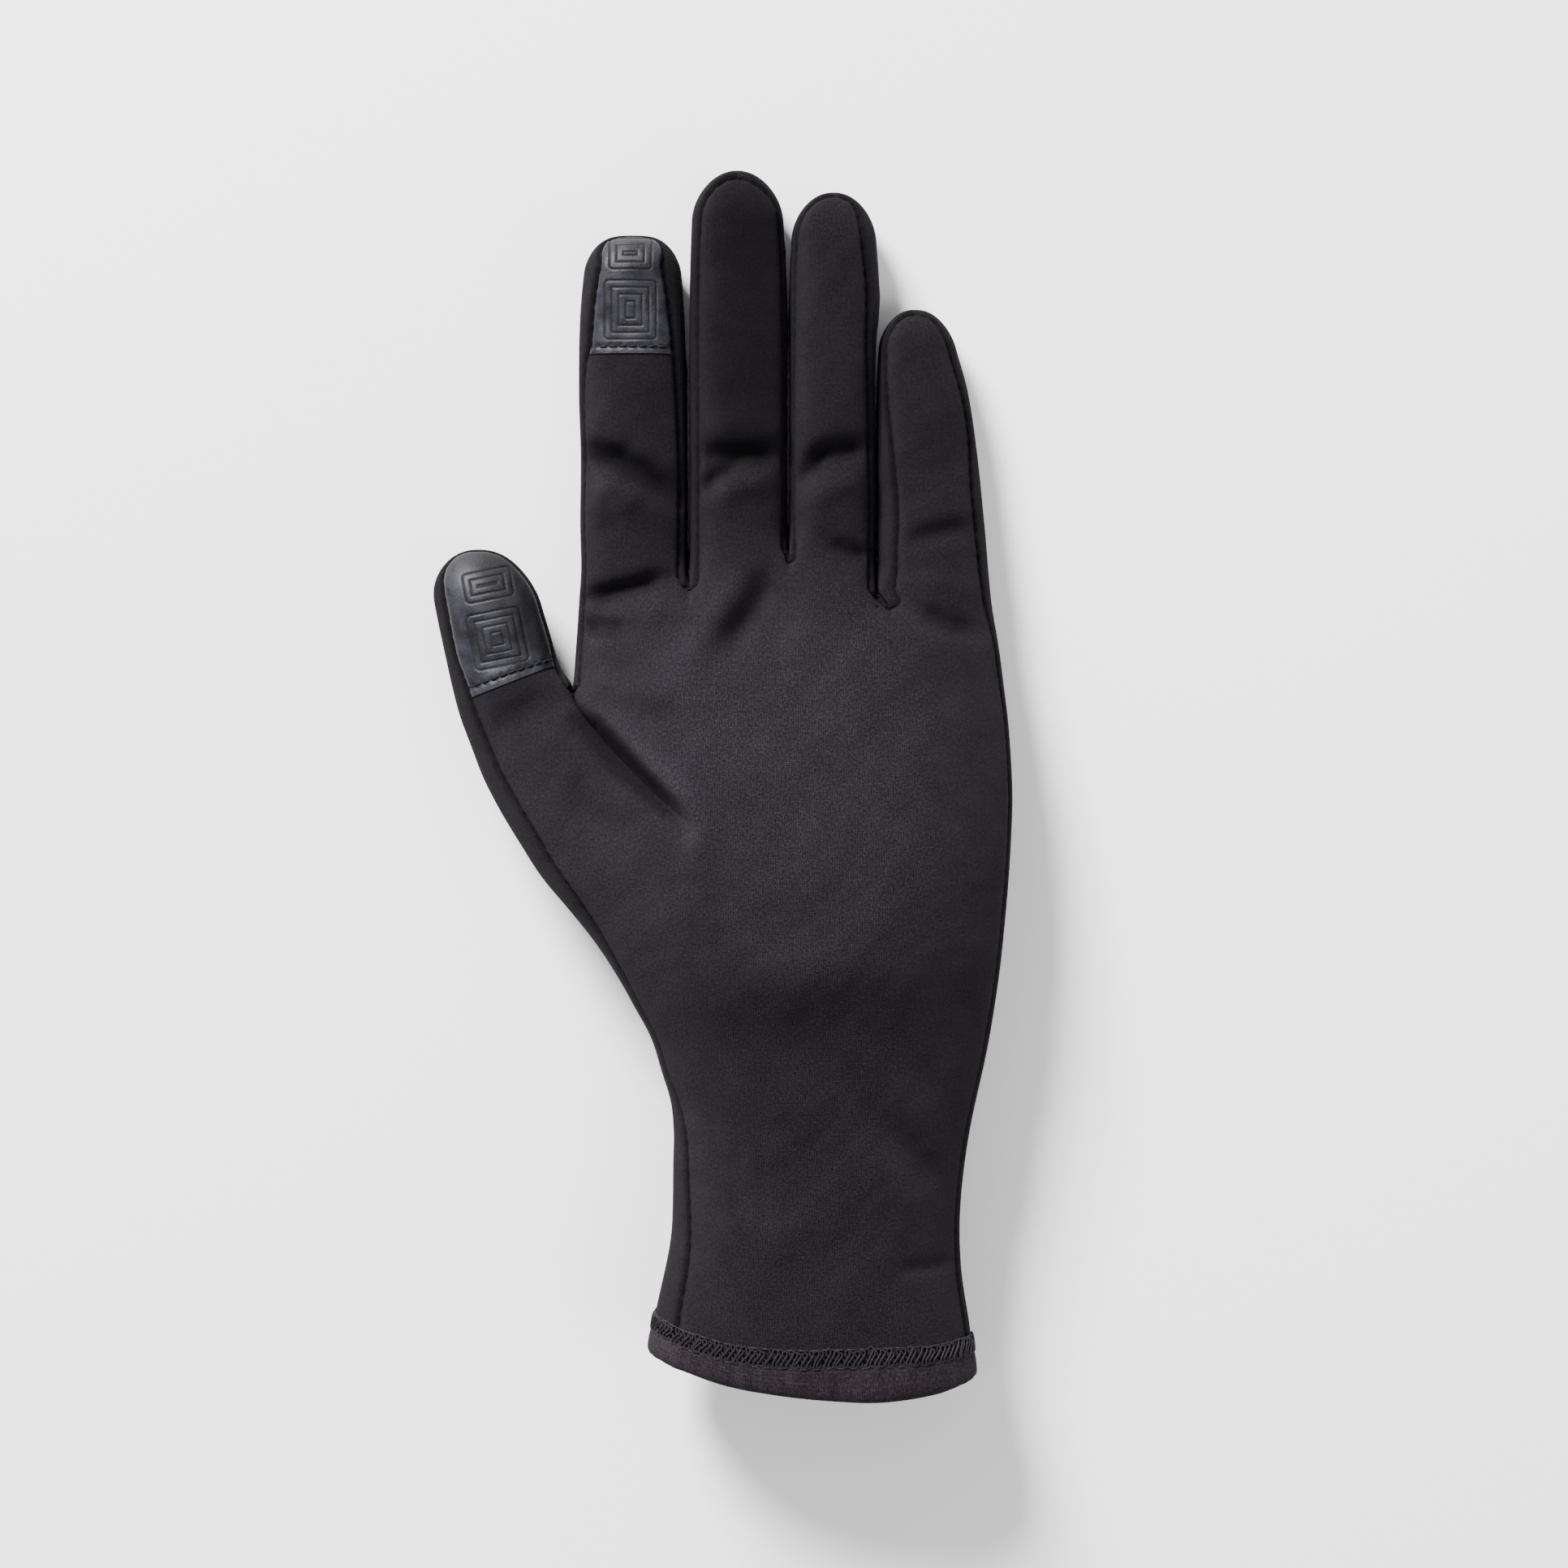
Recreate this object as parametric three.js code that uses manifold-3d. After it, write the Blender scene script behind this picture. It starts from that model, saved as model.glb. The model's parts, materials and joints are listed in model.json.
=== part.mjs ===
// Touchscreen liner glove, left hand, lying on its back with the palm side up.
// Millimetres. +X points from the thumb side to the little-finger side, +Y to the fingertips, +Z up.
// The glove is one hollow knit shell. It is cut along its seams into panels, and across the finger,
// thumb and wrist creases into the segments that turn about them.
import * as THREE from 'three';
import { mergeVertices } from 'three/addons/utils/BufferGeometryUtils.js';
import Module from 'manifold-3d';

const wasm = await Module();
wasm.setup();

// ---- driving dimensions ----
const WALL = 1.2; // knit fabric with its seam allowance
const GAP = 0.3; // clearance between neighbouring pieces
const HEM_DEPTH = 6; // folded band at the cuff edge
const HEM_WALL = 2.2; // the band is two layers
const THREAD = 0.5; // height of a stitch line above the fabric
const RING_SIDES = 20; // facets round a tube
const STALL_STEPS = 5; // rows along the straight part of a stall
const BODY_STEPS = 13; // rows along the palm and cuff
const FINGER_SQUARENESS = 2.35; // 2 is an oval section, more is squarer
const THUMB_SQUARENESS = 2.2;
const BODY_SQUARENESS = 2.4;
const STALL_REACH = 22; // how far a finger's tube runs down inside the palm
const THUMB_ROUND = 11; // radius of the thumb's tip
const MERGE = 0.08; // facets that differ by less than this are merged
const FAR_SIDE = 90; // past the glove's sides
const FAR_END = 150; // past its ends
const FAR_TOP = 80; // past its top
const FAR_LOW = -20; // below the floor
const FINGER_LEVEL = 9.3; // half the height of a finger
const FINGER_FALL = 1.5; // how much lower that is at the fingertips
const FORK_LEVEL = 5; // lower edge of a fork strip
const FORK_WIDTH = 4.4; // how far a fork strip reaches in from the finger's side
const CREASE_WRIST = -62;
const WEB = [-31.4, 18.4]; // bottom of the gap between thumb and index finger
const THUMB_CREASE = [-0.69, -0.724]; // direction of the crease at the thumb's root
const PAD_EDGE = { left: [-53.4, 15.6], right: [-34.0, 23.6] }; // lower edge of the thumb pad

// ---- small helpers ----
// A smooth function through [position, value] points, by cubic Hermite spans.
function through(points) {
  const slopes = points.map((p, i) => {
    const a = points[Math.max(i - 1, 0)];
    const b = points[Math.min(i + 1, points.length - 1)];
    return (b[1] - a[1]) / (b[0] - a[0]);
  });
  return (position) => {
    let i = 0;
    while (i < points.length - 2 && position > points[i + 1][0]) i += 1;
    const [x0, y0] = points[i];
    const [x1, y1] = points[i + 1];
    const span = x1 - x0;
    const t = THREE.MathUtils.clamp((position - x0) / span, 0, 1);
    const t2 = t * t;
    const t3 = t2 * t;
    return (2 * t3 - 3 * t2 + 1) * y0 + (t3 - 2 * t2 + t) * span * slopes[i]
      + (3 * t2 - 2 * t3) * y1 + (t3 - t2) * span * slopes[i + 1];
  };
}

function steps(from, to, count) {
  return Array.from({ length: count + 1 }, (_, i) => from + (to - from) * i / count);
}

function signedPower(value, power) {
  return Math.sign(value) * Math.abs(value) ** power;
}

function solidOf(geometry) {
  const bare = new THREE.BufferGeometry();
  bare.setAttribute('position', geometry.getAttribute('position'));
  if (geometry.index) bare.setIndex(geometry.index);
  const merged = mergeVertices(bare, 1e-5);
  const vertProperties = new Float32Array(merged.getAttribute('position').array);
  const triVerts = new Uint32Array(merged.index.array);
  return new wasm.Manifold(new wasm.Mesh({ numProp: 3, vertProperties, triVerts }));
}

// An upright prism over a plan outline of [x, y] points.
function prism(outline, low = FAR_LOW, high = FAR_TOP) {
  const shape = new THREE.Shape(outline.map(([x, y]) => new THREE.Vector2(x, y)));
  const geometry = new THREE.ExtrudeGeometry(shape, { depth: high - low, bevelEnabled: false });
  geometry.translate(0, 0, low);
  return solidOf(geometry);
}

function block(x0, x1, y0, y1, low = FAR_LOW, high = FAR_TOP) {
  return prism([[x0, y0], [x1, y0], [x1, y1], [x0, y1]], low, high);
}

function join(solids) {
  return solids.reduce((whole, solid) => whole.add(solid));
}

// A closed tube through oval rings, each with a centre, half width, top, bottom and squareness.
function tube(rings) {
  const positions = [];
  for (const { centre, across, halfWidth, top, bottom, squareness } of rings) {
    const middle = (top + bottom) / 2;
    for (let i = 0; i < RING_SIDES; i += 1) {
      const angle = 2 * Math.PI * i / RING_SIDES;
      const side = halfWidth * signedPower(Math.cos(angle), 2 / squareness);
      const rise = (top - middle) * signedPower(Math.sin(angle), 2 / squareness);
      const bend = centre.bend ? centre.bend(centre.x + side) : 0;
      positions.push(centre.x + across[0] * side, centre.y + across[1] * side + bend, middle + rise);
    }
  }
  const index = [];
  const last = (rings.length - 1) * RING_SIDES;
  for (let ring = 0; ring < last; ring += RING_SIDES) {
    for (let i = 0; i < RING_SIDES; i += 1) {
      const next = (i + 1) % RING_SIDES;
      index.push(ring + i, ring + RING_SIDES + i, ring + next);
      index.push(ring + next, ring + RING_SIDES + i, ring + RING_SIDES + next);
    }
  }
  for (let i = 1; i < RING_SIDES - 1; i += 1) {
    index.push(0, i, i + 1);
    index.push(last, last + i + 1, last + i);
  }
  const geometry = new THREE.BufferGeometry();
  geometry.setAttribute('position', new THREE.Float32BufferAttribute(positions, 3));
  geometry.setIndex(index);
  return solidOf(geometry);
}

// Rows along a stall: even ones up to the rounded tip, then closer ones round it.
function stallRows(start, tip, round, count) {
  const straight = steps(start, tip - round, count).map((along) => ({ along, shrink: 1 }));
  const cap = [22, 44, 62, 76].map((degrees) => {
    const angle = THREE.MathUtils.degToRad(degrees);
    return { along: tip - round + round * Math.sin(angle), shrink: Math.cos(angle) };
  });
  return straight.concat(cap);
}

// ---- the fingers ----
// left and right are the plan edges; root is where the stall leaves the palm, knuckle the middle crease.
const fingers = [
  {
    name: 'index', root: 43, knuckle: 64, tipJoint: 87.2, tip: 112.7, round: 8, tipShape: 0.72,
    left: through([[20, -30.6], [55, -30.3], [80, -30.4], [95, -30.2], [104.7, -29.2], [113, -28]]),
    right: through([[20, -8.2], [55, -8.0], [80, -8.1], [95, -8.6], [104.7, -9.2], [113, -10.4]]),
    thick: through([[20, 18.5], [43, 18.6], [64, 17.6], [88, 16.4], [113, 14.5]]),
    seams: { left: 2, right: 2.2, tip: 1.8 },
  },
  {
    name: 'middle', root: 48, knuckle: 67.5, tipJoint: 93.5, tip: 126.1, round: 10.5, tipShape: 1,
    left: through([[20, -7.5], [60, -7.4], [95, -7.5], [115.6, -7.1], [127, -6.3]]),
    right: through([[20, 12.5], [60, 12.6], [95, 12.6], [115.6, 11.9], [127, 10.9]]),
    thick: through([[20, 19], [48, 19.2], [67, 18.2], [94, 17], [127, 15]]),
    seams: { left: 2, right: 2, tip: 1.8 },
  },
  {
    name: 'ring', root: 48, knuckle: 66.5, tipJoint: 91.5, tip: 121.6, round: 10, tipShape: 0.95,
    left: through([[20, 13.1], [60, 13.1], [95, 13.2], [111.6, 13.5], [122, 14.2]]),
    right: through([[20, 31.9], [60, 31.9], [95, 32], [111.6, 31.2], [122, 30.2]]),
    thick: through([[20, 18.6], [48, 18.8], [66, 17.8], [91, 16.6], [122, 14.6]]),
    seams: { left: 2, right: 2.5, tip: 1.8 },
  },
  {
    name: 'little', root: 38.6, knuckle: 51.8, tipJoint: 74, tip: 97.4, round: 8, tipShape: 0.85,
    left: through([[16, 32.4], [50, 32.4], [74, 32.4], [89.4, 32.6], [98, 33.2]]),
    right: through([
      [16, 57.4], [28, 56.3], [37, 54.8], [53, 53.4], [67, 52], [80, 50.1], [89.4, 47.6], [98, 45.4],
    ]),
    thick: through([[16, 20], [38, 17.6], [52, 16.6], [74, 15.2], [98, 13.2]]),
    seams: { left: 2.4, right: 2, tip: 1.8 },
  },
];

function fingerTube(finger, grow) {
  const rows = stallRows(finger.root - STALL_REACH, finger.tip + grow, finger.round + grow, STALL_STEPS);
  return tube(rows.map(({ along, shrink }) => {
    const width = shrink ** finger.tipShape;
    const centre = { x: (finger.left(along) + finger.right(along)) / 2, y: along };
    const halfWidth = ((finger.right(along) - finger.left(along)) / 2 + grow) * width;
    const thick = finger.thick(along);
    const rise = (thick / 2 + grow) * shrink;
    const bottom = thick / 2 - rise;
    const top = thick / 2 + rise;
    return { centre, across: [1, 0], halfWidth, top, bottom, squareness: FINGER_SQUARENESS };
  }));
}

// ---- the thumb ----
const thumbSpine = new THREE.CatmullRomCurve3([
  new THREE.Vector3(-33.5, -8, 0), new THREE.Vector3(-36.6, -2, 0), new THREE.Vector3(-41.2, 9, 0),
  new THREE.Vector3(-45, 20, 0), new THREE.Vector3(-48.2, 32, 0), new THREE.Vector3(-50.8, 47.6, 0),
]);
const THUMB_LENGTH = thumbSpine.getLength();
const thumbHalf = through([[0, 9.5], [8, 11.2], [18, 11.9], [30, 11.8], [45, 11.4], [60, 11]]);
const thumbTop = through([[0, 23], [20, 22.6], [35, 21.4], [58, 19]]);
const thumbBottom = through([[0, 3], [20, 2.2], [35, 2], [58, 3]]);

function thumbRings(grow) {
  const round = THUMB_ROUND + grow;
  return stallRows(0, THUMB_LENGTH + grow, round, STALL_STEPS).map(({ along, shrink }) => {
    const share = Math.min(along / THUMB_LENGTH, 1);
    const spot = thumbSpine.getPointAt(share);
    const heading = thumbSpine.getTangentAt(share);
    spot.addScaledVector(heading, along - share * THUMB_LENGTH);
    const middle = (thumbTop(along) + thumbBottom(along)) / 2;
    const rise = ((thumbTop(along) - thumbBottom(along)) / 2 + grow) * shrink;
    return {
      centre: { x: spot.x, y: spot.y }, across: [heading.y, -heading.x], squareness: THUMB_SQUARENESS,
      halfWidth: (thumbHalf(along) + grow) * shrink, top: middle + rise, bottom: middle - rise,
    };
  });
}

// ---- the palm, wrist and cuff ----
const bodyLeft = through([
  [-130, -16.5], [-121, -15.4], [-113, -14], [-99, -11.7], [-80, -10.8], [-66, -11.3], [-53, -15.3],
  [-40, -22.5], [-26, -32.3], [-13, -42], [-4, -46.5], [4, -46.5], [12, -40], [19, -33.4], [26, -31.2],
  [36, -30.6], [50, -30.2],
]);
const bodyRight = through([
  [-130, 52], [-113, 50.2], [-100, 48.4], [-88, 48.2], [-73, 50], [-53, 54.2], [-33, 57], [-6, 58.9],
  [10, 58.3], [25, 56.8], [40, 54.6], [50, 53.6],
]);
const bodyTop = through([
  [-130, 35], [-113, 33.5], [-95, 31.4], [-75, 30.4], [-55, 31], [-35, 33.4], [-12, 33.6], [8, 30.5],
  [24, 26], [36, 22.4], [50, 20],
]);
const bodyBottom = through([
  [-130, 1.4], [-110, 1.6], [-90, 0.6], [-70, -0.8], [-40, -1.8], [10, -1.8], [50, -1],
]);
const PALM_END = 46.6; // highest point of the curved line where the fingers begin
const PALM_ROUND = 9;
const PALM_END_LEVEL = 9.2; // height that the palm's rounded end runs down to
const PALM_END_RISE = 0.12; // share of its thickness that it keeps there
const PALM_END_NARROWS = 1.2; // how far each side draws in there

// The line of the finger roots falls away to both sides of the middle finger.
function rootFall(x) {
  return -0.0145 * (THREE.MathUtils.clamp(x, -10, 40) - 10) ** 2;
}

function bodyTube(grow) {
  const rows = stallRows(-130, PALM_END + grow, PALM_ROUND + grow, BODY_STEPS);
  return tube(rows.map(({ along, shrink }) => {
    const lean = THREE.MathUtils.smoothstep(along, 0, 40);
    const bend = (x) => lean * rootFall(x);
    const level = (bodyTop(along) + bodyBottom(along)) / 2;
    const middle = THREE.MathUtils.lerp(level, PALM_END_LEVEL, 1 - shrink);
    const rise = ((bodyTop(along) - bodyBottom(along)) / 2 + grow) * Math.max(shrink, PALM_END_RISE);
    const centre = { x: (bodyLeft(along) + bodyRight(along)) / 2, y: along, bend };
    const halfWidth = (bodyRight(along) - bodyLeft(along)) / 2 + grow - PALM_END_NARROWS * (1 - shrink);
    const top = middle + rise;
    const bottom = middle - rise;
    return { centre, across: [1, 0], halfWidth, top, bottom, squareness: BODY_SQUARENESS };
  }));
}

// ---- the whole shell ----
// grow is how far the surface stands out from the glove's outer face. The floor flattens the back.
function gloveSolid(grow) {
  const stalls = fingers.map((finger) => fingerTube(finger, grow));
  const whole = join([bodyTube(grow), ...stalls, tube(thumbRings(grow))]);
  return whole.intersect(block(-FAR_SIDE, FAR_SIDE, -FAR_END, FAR_END, -grow));
}

// The cuff edge, seen in plan, bows away from the hand.
const cuffEdge = through([
  [-20, -116.4], [-12, -118.6], [4, -123.6], [27, -126.1], [42, -125], [60, -119.5],
]);
function aboveCuffEdge(rise) {
  const edge = steps(-24, 64, 11).map((x) => [x, cuffEdge(x) + rise]);
  return prism([...edge, [FAR_SIDE, FAR_END], [-FAR_SIDE, FAR_END]]);
}

const outer = gloveSolid(0);
const shell = outer.subtract(gloveSolid(-WALL));
const knitShell = shell.intersect(aboveCuffEdge(HEM_DEPTH + GAP));
const hemShell = outer.subtract(gloveSolid(-HEM_WALL))
  .intersect(aboveCuffEdge(0)).subtract(aboveCuffEdge(HEM_DEPTH));

// ---- plan outlines of the seams ----
function fingerOutline(finger, grow) {
  const { seams } = finger;
  const inset = { left: seams.left - grow, right: seams.right - grow, tip: seams.tip - grow };
  const rows = stallRows(finger.root - STALL_REACH + 2, finger.tip - inset.tip, finger.round, STALL_STEPS);
  const edge = (side) => rows.map(({ along, shrink }) => {
    const middle = (finger.left(along) + finger.right(along)) / 2;
    const halfWidth = (finger.right(along) - finger.left(along)) / 2;
    const reach = halfWidth - (side < 0 ? inset.left : inset.right);
    return [middle + side * reach * shrink ** finger.tipShape, along];
  });
  return [...edge(1), ...edge(-1).reverse()];
}

const THUMB_SEAM = { tip: 1.8, left: 3.4 }; // inset at the tip and inner side, and on the outer side
function thumbOutline(grow) {
  const rings = thumbRings(grow - THUMB_SEAM.tip);
  const edge = (side, more) => rings.map(({ centre, across, halfWidth }) => {
    const reach = side * Math.max(halfWidth - more, 0.5);
    return [centre.x + across[0] * reach, centre.y + across[1] * reach];
  });
  return [...edge(1, 0), ...edge(-1, THUMB_SEAM.left - THUMB_SEAM.tip).reverse()];
}

const bodySeamLeft = through([
  [-130, 3.4], [-100, 3.2], [-80, 2.6], [-60, 2], [-45, 2], [-30, 2.4], [-12, 3], [20, 3], [50, 2],
]);
const BODY_SEAM_RIGHT = 2;
function bodyOutline(grow) {
  const rows = steps(-130, PALM_END - PALM_ROUND + grow, 16);
  const left = rows.map((y) => [bodyLeft(y) + bodySeamLeft(y) - grow, y]);
  const right = rows.map((y) => [bodyRight(y) - BODY_SEAM_RIGHT + grow, y]);
  const crown = steps(40, -14, 9).map((x) => [x, PALM_END - 1.5 + grow + rootFall(x)]);
  return [...left.reverse(), ...right, ...crown];
}

// The glove is widest half way up. This holds everything above that level, which falls to the fingers.
function aboveMiddle(grow) {
  const level = steps(-130, 38, 12).map((y) => [y, (bodyTop(y) + bodyBottom(y)) / 2 - grow]);
  const fingerLevel = [[50, FINGER_LEVEL - grow], [FAR_END, FINGER_LEVEL - FINGER_FALL - grow]];
  const outline = [...level, ...fingerLevel, [FAR_END, FAR_TOP], [-130, FAR_TOP]];
  const shape = new THREE.Shape(outline.map(([y, z]) => new THREE.Vector2(y, z)));
  const geometry = new THREE.ExtrudeGeometry(shape, { depth: 2 * FAR_SIDE, bevelEnabled: false });
  geometry.applyMatrix4(new THREE.Matrix4().makeBasis(
    new THREE.Vector3(0, 1, 0), new THREE.Vector3(0, 0, 1), new THREE.Vector3(1, 0, 0)));
  geometry.translate(-FAR_SIDE, 0, 0);
  return solidOf(geometry);
}

// Everything inside the palm-side seams, above the widest level.
function palmSide(grow) {
  const outlines = [bodyOutline(grow), thumbOutline(grow), ...fingers.map((f) => fingerOutline(f, grow))];
  return join(outlines.map((outline) => prism(outline))).intersect(aboveMiddle(grow));
}
const frontRegion = palmSide(-GAP / 2);
const behindFront = palmSide(GAP / 2);

// ---- plan regions of the moving segments ----
const half = GAP / 2;
const splits = [-33, -7.75, 12.85, 32.15, 75]; // the lines between neighbouring fingers
function fingerRegion(i, from, to) {
  return block(splits[i] + half, splits[i + 1] - half, from + half, to - half);
}

// The side of a plan line through a point, as a prism; side 1 keeps what lies to the left of its heading.
function beyond(point, heading, offset) {
  const [hx, hy] = heading;
  const [nx, ny] = [-hy, hx];
  const at = (along, out) => [point[0] + hx * along + nx * out, point[1] + hy * along + ny * out];
  const [low, high] = [-FAR_SIDE, FAR_SIDE];
  return prism([at(low, offset), at(high, offset), at(high, FAR_END), at(low, FAR_END)]);
}
const thumbHeading = [-THUMB_CREASE[0], -THUMB_CREASE[1]];
const padSpan = Math.hypot(PAD_EDGE.right[0] - PAD_EDGE.left[0], PAD_EDGE.right[1] - PAD_EDGE.left[1]);
const padHeading = [0, 1].map((k) => (PAD_EDGE.right[k] - PAD_EDGE.left[k]) / padSpan);
const THUMB_LOWEST = -40; // nothing below this belongs to the thumb
function thumbSideOf(x) {
  return block(-FAR_SIDE, x, THUMB_LOWEST, FAR_SIDE);
}
const thumbSide = thumbSideOf(WEB[0]);
const thumbAll = beyond(WEB, thumbHeading, half).intersect(thumbSide);
const thumbTipRegion = beyond(PAD_EDGE.left, padHeading, half).intersect(thumbAll);
const thumbLowerRegion = thumbAll.subtract(beyond(PAD_EDGE.left, padHeading, -half));

// The palm reaches up to each finger's root, and to the crease at the thumb's root.
const rootSteps = fingers.flatMap((finger, i) => {
  const top = finger.root - half;
  const from = i === 0 ? -FAR_SIDE : splits[i];
  const to = i === fingers.length - 1 ? FAR_SIDE : splits[i + 1];
  return [[from, top], [to, top]];
});
const palmFloor = CREASE_WRIST + half;
const rootOutline = [[FAR_SIDE, palmFloor], [-FAR_SIDE, palmFloor], ...rootSteps];
const rootRegion = prism(rootOutline)
  .subtract(beyond(WEB, thumbHeading, -half).intersect(thumbSideOf(WEB[0] + half)));
const cuffRegion = block(-FAR_SIDE, FAR_SIDE, -FAR_END, CREASE_WRIST - half);

// ---- materials ----
function cloth(colour, roughness) {
  return new THREE.MeshStandardMaterial({ color: colour, roughness, metalness: 0 });
}
const palmKnit = cloth(0x302b31, 0.85);
const backKnit = cloth(0x29252a, 0.85);
const forkKnit = cloth(0x262227, 0.85);
const padLeather = cloth(0x35343a, 0.45);
const hemKnit = cloth(0x322a30, 0.85);
const thread = cloth(0x1b191c, 0.6);

// ---- nodes ----
const glove = new THREE.Group();
const MIN_VOLUME = 0.5; // crumbs of a cut smaller than this are dropped

function addNode(name, solid, material) {
  const parts = solid.decompose().filter((piece) => piece.volume() > MIN_VOLUME);
  parts.sort((a, b) => b.volume() - a.volume());
  const mesh = parts[0].simplify(MERGE).getMesh();
  const geometry = new THREE.BufferGeometry();
  geometry.setAttribute('position', new THREE.BufferAttribute(mesh.vertProperties, 3));
  geometry.setIndex(new THREE.BufferAttribute(mesh.triVerts, 1));
  geometry.computeVertexNormals();
  const node = new THREE.Mesh(geometry, material);
  node.name = name;
  glove.add(node);
}

// The strip along a finger's side, between the palm-side seam and the back seam.
function forkStrip(x, towards, grow) {
  const inner = x + towards * (FORK_WIDTH + grow);
  return block(Math.min(x, inner), Math.max(x, inner), CREASE_WRIST, FAR_END, FORK_LEVEL - grow);
}

fingers.forEach((finger, i) => {
  const cuts = [
    ['lower', finger.root, finger.knuckle],
    ['middle', finger.knuckle, finger.tipJoint],
    ['tip', finger.tipJoint, FAR_END],
  ];
  for (const [segment, from, to] of cuts) {
    const ring = knitShell.intersect(fingerRegion(i, from, to));
    const id = `${finger.name}_${segment}`;
    const front = ring.intersect(frontRegion);
    const isPad = finger.name === 'index' && segment === 'tip';
    addNode(isPad ? 'index_pad' : `${id}_front`, front, isPad ? padLeather : palmKnit);
    let rest = ring.subtract(behindFront);
    const sides = [];
    if (i > 0) sides.push(['left', splits[i], 1]);
    if (i < 3) sides.push(['right', splits[i + 1], -1]);
    for (const [side, x, towards] of sides) {
      addNode(`${id}_fork_${side}`, rest.intersect(forkStrip(x, towards, -half)), forkKnit);
    }
    for (const [, x, towards] of sides) rest = rest.subtract(forkStrip(x, towards, half));
    addNode(`${id}_back`, rest, backKnit);
  }
});

const thumbParts = [['thumb_lower', thumbLowerRegion], ['thumb_tip', thumbTipRegion]];
for (const [id, region] of thumbParts) {
  const ring = knitShell.intersect(region);
  const isPad = id === 'thumb_tip';
  const front = ring.intersect(frontRegion);
  addNode(isPad ? 'thumb_pad' : `${id}_front`, front, isPad ? padLeather : palmKnit);
  addNode(`${id}_back`, ring.subtract(behindFront), backKnit);
}

const palmShell = knitShell.intersect(rootRegion);
let palmRest = palmShell.subtract(behindFront);
addNode('palm_panel', palmShell.intersect(frontRegion), palmKnit);
const crotches = [['index_middle', splits[1]], ['middle_ring', splits[2]], ['ring_little', splits[3]]];
const FORK_FOOT = 6; // how far a fork reaches below the line of the finger roots
for (const [pair, x] of crotches) {
  const foot = PALM_END - FORK_FOOT + rootFall(x);
  const strip = (grow) => {
    const reach = FORK_WIDTH + grow;
    return block(x - reach, x + reach, foot - grow, FAR_SIDE, FORK_LEVEL - grow);
  };
  addNode(`fork_${pair}`, palmRest.intersect(strip(-half)), forkKnit);
  palmRest = palmRest.subtract(strip(half));
}
addNode('back_panel', palmRest, backKnit);

const cuffShell = knitShell.intersect(cuffRegion);
addNode('cuff_front', cuffShell.intersect(frontRegion), palmKnit);
addNode('cuff_back', cuffShell.subtract(behindFront), backKnit);
addNode('hem_band', hemShell, hemKnit);

// ---- stitch lines, standing on the fabric ----
const threadShell = gloveSolid(GAP + THREAD).subtract(gloveSolid(GAP));
const HEM_STITCH = { low: HEM_DEPTH - 1.2, high: HEM_DEPTH + 2.8 }; // heights above the cuff edge
const hemStitch = threadShell.intersect(aboveCuffEdge(HEM_STITCH.low))
  .subtract(aboveCuffEdge(HEM_STITCH.high));
addNode('hem_coverstitch', hemStitch, thread);
const PAD_STITCH = { low: 1.2, high: 2.1 }; // heights above a pad's lower edge
const PAD_STITCH_INSET = 1.2; // it stops this far inside the pad's side seams
const index = fingers[0];
const indexPadLine = block(
  splits[0] - FORK_WIDTH, splits[1], index.tipJoint + PAD_STITCH.low, index.tipJoint + PAD_STITCH.high,
).intersect(prism(fingerOutline(index, -PAD_STITCH_INSET), FINGER_LEVEL));
addNode('index_pad_stitch', threadShell.intersect(indexPadLine), thread);
const THUMB_STITCH_LEVEL = 13; // the thumb lies this much higher than a finger's side
const thumbPadLine = beyond(PAD_EDGE.left, padHeading, PAD_STITCH.low)
  .subtract(beyond(PAD_EDGE.left, padHeading, PAD_STITCH.high))
  .intersect(thumbSide)
  .intersect(prism(thumbOutline(-PAD_STITCH_INSET), THUMB_STITCH_LEVEL));
addNode('thumb_pad_stitch', threadShell.intersect(thumbPadLine), thread);

// ---- the row frame: plan centre of the box at the origin, lowest point at z = 0 ----
const box = new THREE.Box3().setFromObject(glove);
const middle = box.getCenter(new THREE.Vector3());
glove.position.set(-middle.x, -middle.y, -box.min.z);

export default glove;
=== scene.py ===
# Touchscreen liner glove, left hand, lying palm up.
# Lengths are millimetres in the glove's own frame until place() puts them in the row frame, in metres.
# The skin is two height fields, the palm side and the back, over the glove's outline. Grids over them are
# cut along the seams into panels and fork strips, then given folds, seam grooves, thickness, stitches and
# a weave.
import json
import math

import bmesh
import bpy
import numpy as np
from mathutils.kdtree import KDTree
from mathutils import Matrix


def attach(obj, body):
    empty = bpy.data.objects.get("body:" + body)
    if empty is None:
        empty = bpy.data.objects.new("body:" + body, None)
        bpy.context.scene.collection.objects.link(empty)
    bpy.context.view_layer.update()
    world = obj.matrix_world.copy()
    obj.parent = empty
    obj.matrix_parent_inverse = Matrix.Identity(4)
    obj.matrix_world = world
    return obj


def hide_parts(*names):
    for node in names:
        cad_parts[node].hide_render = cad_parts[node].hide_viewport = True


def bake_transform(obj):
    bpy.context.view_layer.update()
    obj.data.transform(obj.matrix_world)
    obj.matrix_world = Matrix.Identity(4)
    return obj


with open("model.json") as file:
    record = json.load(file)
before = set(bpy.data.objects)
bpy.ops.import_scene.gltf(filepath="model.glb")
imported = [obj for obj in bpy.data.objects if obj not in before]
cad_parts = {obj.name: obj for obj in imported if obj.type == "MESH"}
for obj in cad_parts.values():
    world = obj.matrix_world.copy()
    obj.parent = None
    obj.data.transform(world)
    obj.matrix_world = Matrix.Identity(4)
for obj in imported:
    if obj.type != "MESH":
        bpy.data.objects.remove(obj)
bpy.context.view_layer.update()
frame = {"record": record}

# ---- units and placing ----
MM = 0.001
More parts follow.
